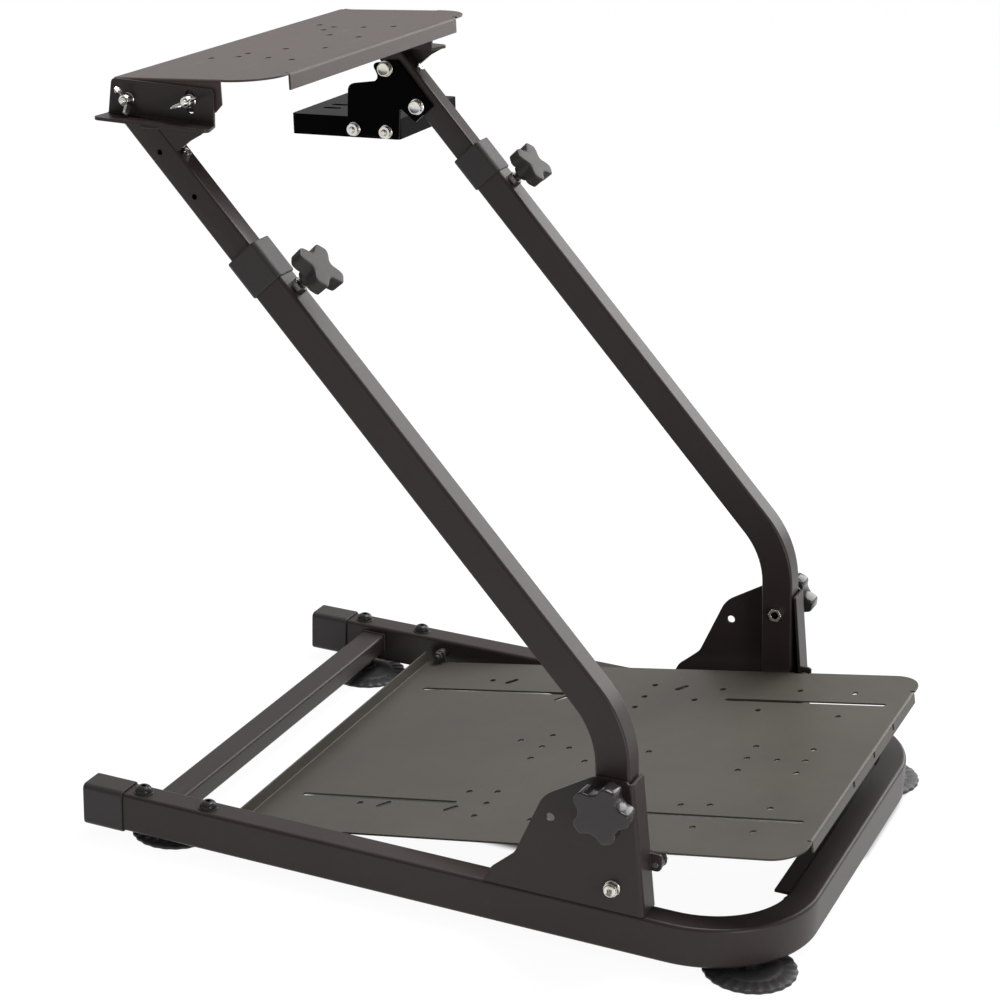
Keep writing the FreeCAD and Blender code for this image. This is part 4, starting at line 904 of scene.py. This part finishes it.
class StandWingNuts(bpy.types.Operator):
    """Forge the wing nuts and carriage bolts that hold the wheel plate"""

    bl_idname = "stand.wing_nuts"
    bl_label = "Wing nuts"

    def execute(self, context):
        wing = self.wing(context.scene.stand_fasteners.wing_reach / MM)
        washer = skin(washer_rings(6.1, 3.2, 0.9), 36)
        barrel = skin([(3.2, 0.9), (5.3, 0.9), (5.9, 1.3), (5.4, 5.0), (4.8, 8.2), (4.4, 8.7),
                       (3.2, 8.4)], 36)
        shank, end, lift = 2.9, 15.0, 0.2
        for spot, lean in WING_LEANS.items():
            for name, side in SIDES.items():
                node = f"wing_bolt_{spot}_{name}"
                inner, outer = widths(node, side)
                matrix = stood(on_axis(node, inner), (0, side, 0), side=(1, 0, 0))
                seat = abs(outer - inner) / MM - end
                hub = matrix @ Matrix.Translation((0, 0, seat + lift))
                bolt = skin([(0.0, 0.0), (2.5, 0.15), (4.6, 0.8), (6.0, 1.7), (6.5, 2.4),
                             (shank, 2.4), (shank, seat)], 40)
                screw = skin(thread(shank, seat, seat + 12.2), 24)
                parts = [(*bolt, matrix), (*screw, matrix), (*washer, hub), (*barrel, hub)]
                for way in (0.0, math.pi):
                    angle = (lean if side < 0 else -lean) + way
                    parts.append((*wing, hub @ Matrix.Rotation(angle, 4, "Z")))
                piece(f"winged_{node}", parts, "wheel_desk", "zinc_steel", replaces=(node,),
                      sharp=34)
        return {"FINISHED"}

    def wing(self, reach):
        """Points and faces of one wing, thinner towards its tip and eased round its edge."""
        outline = [(3.0, 1.6), (6.2, 2.4), (9.4, 4.6), (reach - 1.0, 7.2), (reach, 9.6),
                   (reach - 0.1, 12.2), (reach - 1.3, 14.2), (reach - 3.2, 14.8),
                   (reach - 4.9, 13.6), (7.0, 10.6), (5.0, 8.4), (3.0, 7.4)]
        heart, ease, flank = Vector((7.0, 8.0)), 0.14, 0.45
        points, faces = [], []
        for r, z in outline:
            thick = 1.9 - 0.75 * min(1.0, max(0.0, (r - 3.0) / 9.0))
            for y, pull in ((-thick, ease), (-thick * flank, 0.0), (thick * flank, 0.0),
                            (thick, ease)):
                flat = Vector((r, z)).lerp(heart, pull)
                points.append((flat.x, y, flat.y))
        for i, j in neighbours(len(outline)):
            faces += [(4 * i + k, 4 * i + k + 1, 4 * j + k + 1, 4 * j + k) for k in range(3)]
        faces += [tuple(range(k, len(points), 4)) for k in (0, 3)]
        return points, faces


class StandRailBolts(bpy.types.Operator):
    """Set the domed socket bolts in the tops of the rails"""

    bl_idname = "stand.rail_bolts"
    bl_label = "Rail bolts"

    def execute(self, context):
        r = context.scene.stand_fasteners.rail_bolt / MM / 2
        socket = hexagon(2.9)
        bolt = skin([(r + 1.9, -0.4), (r + 1.9, 0.6), (r + 1.5, 1.0), (r + 0.05, 1.1), (r, 2.3),
                     (r * 0.95, 3.8), (r * 0.8, 5.5), (r * 0.62, 6.5), (r * 0.5, 6.9),
                     (socket, 6.8), (socket, 3.8), (0.0, 3.4)], 48)
        top = (RAIL_HIGH.z - RAIL_LOW.z) / MM
        parts = [(*bolt, stood(stand(x, RAIL_BOLTS_Y * side, top), UP, spin=0.2 * side + x))
                 for side in SIDES.values() for x in RAIL_BOLTS_X]
        piece("rail_bolts", parts, "base", "black_oxide", "shifter_black", sharp=34)
        return {"FINISHED"}


class StandHangerBolts(bpy.types.Operator):
    """Bolt the shifter hanger to the arm and the tray to the hanger"""

    bl_idname = "stand.hanger_bolts"
    bl_label = "Shifter mount bolts"

    def execute(self, context):
        corner = context.scene.stand_fasteners.hanger_bolt / MM / 2
        face = (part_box("shifter_hanger")[0].y - ORIGIN.y) / MM
        head = skin([(0.0, -0.2), (hexagon(corner, corner * 0.94), 0.9), (hexagon(corner), 1.4),
                     (hexagon(corner), 5.0), (corner * 0.93, 5.9), (corner * 0.82, 6.1),
                     (corner * 0.7, 5.7), (corner * 0.5, 5.2), (0.0, 5.0)], 48)
        large, small = skin(washer_rings(8.4, 3.0, 1.0), 40), skin(washer_rings(7.4, 3.0, 1.2), 40)
        nut, screw = skin(nut_rings(6.6, 4.6, 2.8), 48), skin(thread(3.0, 1.0, 8.2), 24)
        seat = Matrix.Translation((0, 0, 1.2))
        parts = []
        for x, z, spin in HANGER_BOLTS:
            matrix = stood(stand(x, face, z), (0, -1, 0), spin)
            parts += [(*head, matrix), (*large, matrix)]
        for x, z, spin in TRAY_NUTS:
            matrix = stood(stand(x, face, z), (0, -1, 0), spin)
            parts += [(*small, matrix), (*nut, matrix @ seat), (*screw, matrix)]
        piece("shifter_mount_bolts", parts, "head", "zinc_steel", sharp=32)
        return {"FINISHED"}


class StandPivotNuts(bpy.types.Operator):
    """Fit the pivot bolts with washers and locking nuts"""

    bl_idname = "stand.pivot_nuts"
    bl_label = "Pivot nuts"

    def execute(self, context):
        washer, nut = skin(washer_rings(7.5, 4.0, 1.1), 44), skin(nut_rings(7.2, 4.4, 4.0), 48)
        collar = skin([(4.6, 5.4), (6.0, 5.4), (5.9, 7.4), (5.3, 8.2), (4.5, 8.4), (3.4, 8.0),
                       (hexagon(2.9), 7.6), (hexagon(2.9), 3.6), (0.0, 3.2)], 48)
        seat = Matrix.Translation((0, 0, 1.1))
        for name, side in SIDES.items():
            node = f"pivot_bolt_{name}"
            inner, outer = widths(node, side)[0], widths(f"arm_bracket_{name}", side)[1]
            matrix = stood(on_axis(node, outer), (0, side, 0), spin=0.25)
            back = -abs(outer - inner) / MM
            bolt = skin([(0.0, back), (hexagon(7.0, 6.6), back), (hexagon(7.0), back + 0.5),
                         (hexagon(7.0), back + 4.4), (4.0, back + 4.4), (4.0, 0.0)], 48)
            parts = [(*bolt, matrix), (*washer, matrix), (*nut, matrix @ seat),
                     (*collar, matrix)]
            piece(f"locking_{node}", parts, "base", "zinc_steel", replaces=(node,), sharp=32)
        return {"FINISHED"}


class StandWelds(bpy.types.Operator):
    """Lay the coated weld beads at the ends of the cross tube"""

    bl_idname = "stand.welds"
    bl_label = "Weld beads"

    def execute(self, context):
        low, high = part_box("rear_cross_tube")
        foot, inward = low.z + 0.002, 0.0006
        parts = []
        for side in SIDES.values():
            y = widths("rear_cross_tube", side)[1] - side * inward
            path = [Vector((low.x, y, foot)), Vector((low.x, y, high.z)),
                    Vector((high.x, y, high.z)), Vector((high.x, y, foot))]
            parts.append(bead(path, radius=1.7, seed=3.0 + side))
        piece("cross_tube_welds", parts, "base", "frame_black", sharp=60)
        return {"FINISHED"}


class StandStage(bpy.types.Operator):
    """Lay the pale floor and light it softly"""

    bl_idname = "stand.stage"
    bl_label = "Studio"

    def execute(self, context):
        s = context.scene.stand_studio
        self.floor(s)
        self.world(context.scene, s)
        for name, at, size, power in LAMPS:
            self.lamp(name, at, size, getattr(s, power))
        context.scene.view_settings.view_transform = "Standard"
        return {"FINISHED"}

    def floor(self, s):
        """A level sheet under the feet. The camera sees most of it white, with its shadows, and a
        painted shadow under the pedal plate.
        """
        mesh = bmesh.new()
        bmesh.ops.create_grid(mesh, x_segments=8, y_segments=8, size=FLOOR_REACH)
        for vertex in mesh.verts:
            vertex.co.z = CAD_BOX[0].z - FLOOR_DROP
        floor = linked("floor", mesh)
        material = bpy.data.materials.new("pale_floor")
        tree = Tree(material)
        seen = tree.ray("Camera").most(tree.ray("Glossy")).most(tree.ray("Transmission"))
        # Under the pedal plate the floor's white is cut back to a painted shadow.
        shown = s.floor_glow - self.painted_plate_shadow(tree) * (s.floor_glow - PAINTED_SHADOW_GLOW)
        paint = tree.node("ShaderNodeBsdfDiffuse", None, {"Color": rgba(WHITE, FLOOR_PAINT)})
        glow = tree.node("ShaderNodeEmission", None, {"Color": WHITE, "Strength": FLOOR_WHITE})
        both = tree.node("ShaderNodeMixShader", None, {0: seen * shown, 1: paint, 2: glow})
        tree.node("ShaderNodeOutputMaterial", None, {"Surface": both})
        floor.data.materials.append(material)

    def painted_plate_shadow(self, tree):
        """Painted shadow: 1 where the pedal plate lies over the floor, up to the strip lit by the
        gap beside it. There the floor's white is cut back, so the plate's holes look dark.
        """
        low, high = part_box("pedal_plate")
        x, y = tree.parts(tree.place())[:2]
        near, front = stand(*SHADOW_EDGE_NEAR_END), stand(*SHADOW_EDGE_FRONT_END)
        slope = (front.y - near.y) / (front.x - near.x)
        edge = (x - near.x).most(0.0) * slope + near.y
        along = x.rise(low.x, low.x + 0.02) * x.rise(high.x - 0.01, high.x, 1.0, 0.0)
        across = (y - edge).rise(0.0, 0.014)
        return along * across * y.rise(high.y + 0.03, high.y + 0.05, 1.0, 0.0)

    def world(self, scene, s):
        """White to the camera, and a grey room as a light: dim in front and lighter behind."""
        scene.world = bpy.data.worlds.new("studio")
        tree = Tree(scene.world)
        x, y, z = tree.parts(tree.node("ShaderNodeTexCoord", output="Generated"))
        behind = y.rise(-0.6, 0.7, s.front_level, s.back_level)
        left = x.rise(-0.6, -0.3, 0.3, 0.0) * y.rise(0.2, 0.8)
        level = behind + left + z.rise(0.2, 0.9, 0.0, 0.25)
        camera = tree.ray("Camera")
        inputs = {"Color": WHITE, "Strength": camera + (1 - camera) * level}
        glow = tree.node("ShaderNodeBackground", None, inputs)
        tree.node("ShaderNodeOutputWorld", None, {"Surface": glow})

    def lamp(self, name, at, size, power):
        data = bpy.data.lights.new(name, "AREA")
        data.shape, data.size, data.energy = "DISK", size, power
        made = bpy.data.objects.new(name, data)
        made.location = at
        made.rotation_euler = (LAMPS_AIM - Vector(at)).to_track_quat("-Z", "Y").to_euler()
        bpy.context.scene.collection.objects.link(made)


STEPS = (StandCamera, StandCoatings, StandInnerArms, StandKnobs, StandFeet, StandWingNuts,
         StandRailBolts, StandHangerBolts, StandPivotNuts, StandWelds, StandStage)


class StandPanel(bpy.types.Panel):
    """Lists the stand's steps and its main sizes and colours."""

    bl_idname = "VIEW3D_PT_stand"
    bl_label = "Racing wheel stand"
    bl_space_type = "VIEW_3D"
    bl_region_type = "UI"
    bl_category = "Stand"

    def draw(self, context):
        scene = context.scene
        for group in (scene.stand_coatings, scene.stand_fasteners, scene.stand_studio):
            column = self.layout.column(align=True)
            for name in group.__annotations__:
                column.prop(group, name)
        for step in STEPS:
            self.layout.operator(step.bl_idname)


CLASSES = (CoatingSettings, FastenerSettings, StudioSettings, *STEPS, StandPanel)


def register():
    for cls in CLASSES:
        bpy.utils.register_class(cls)
    bpy.types.Scene.stand_coatings = PointerProperty(type=CoatingSettings)
    bpy.types.Scene.stand_fasteners = PointerProperty(type=FastenerSettings)
    bpy.types.Scene.stand_studio = PointerProperty(type=StudioSettings)


def unregister():
    del bpy.types.Scene.stand_coatings
    del bpy.types.Scene.stand_fasteners
    del bpy.types.Scene.stand_studio
    for cls in reversed(CLASSES):
        bpy.utils.unregister_class(cls)


def main():
    register()
    for step in STEPS:
        group, name = step.bl_idname.split(".")
        getattr(getattr(bpy.ops, group), name)()


if __name__ == "__main__":
    main()
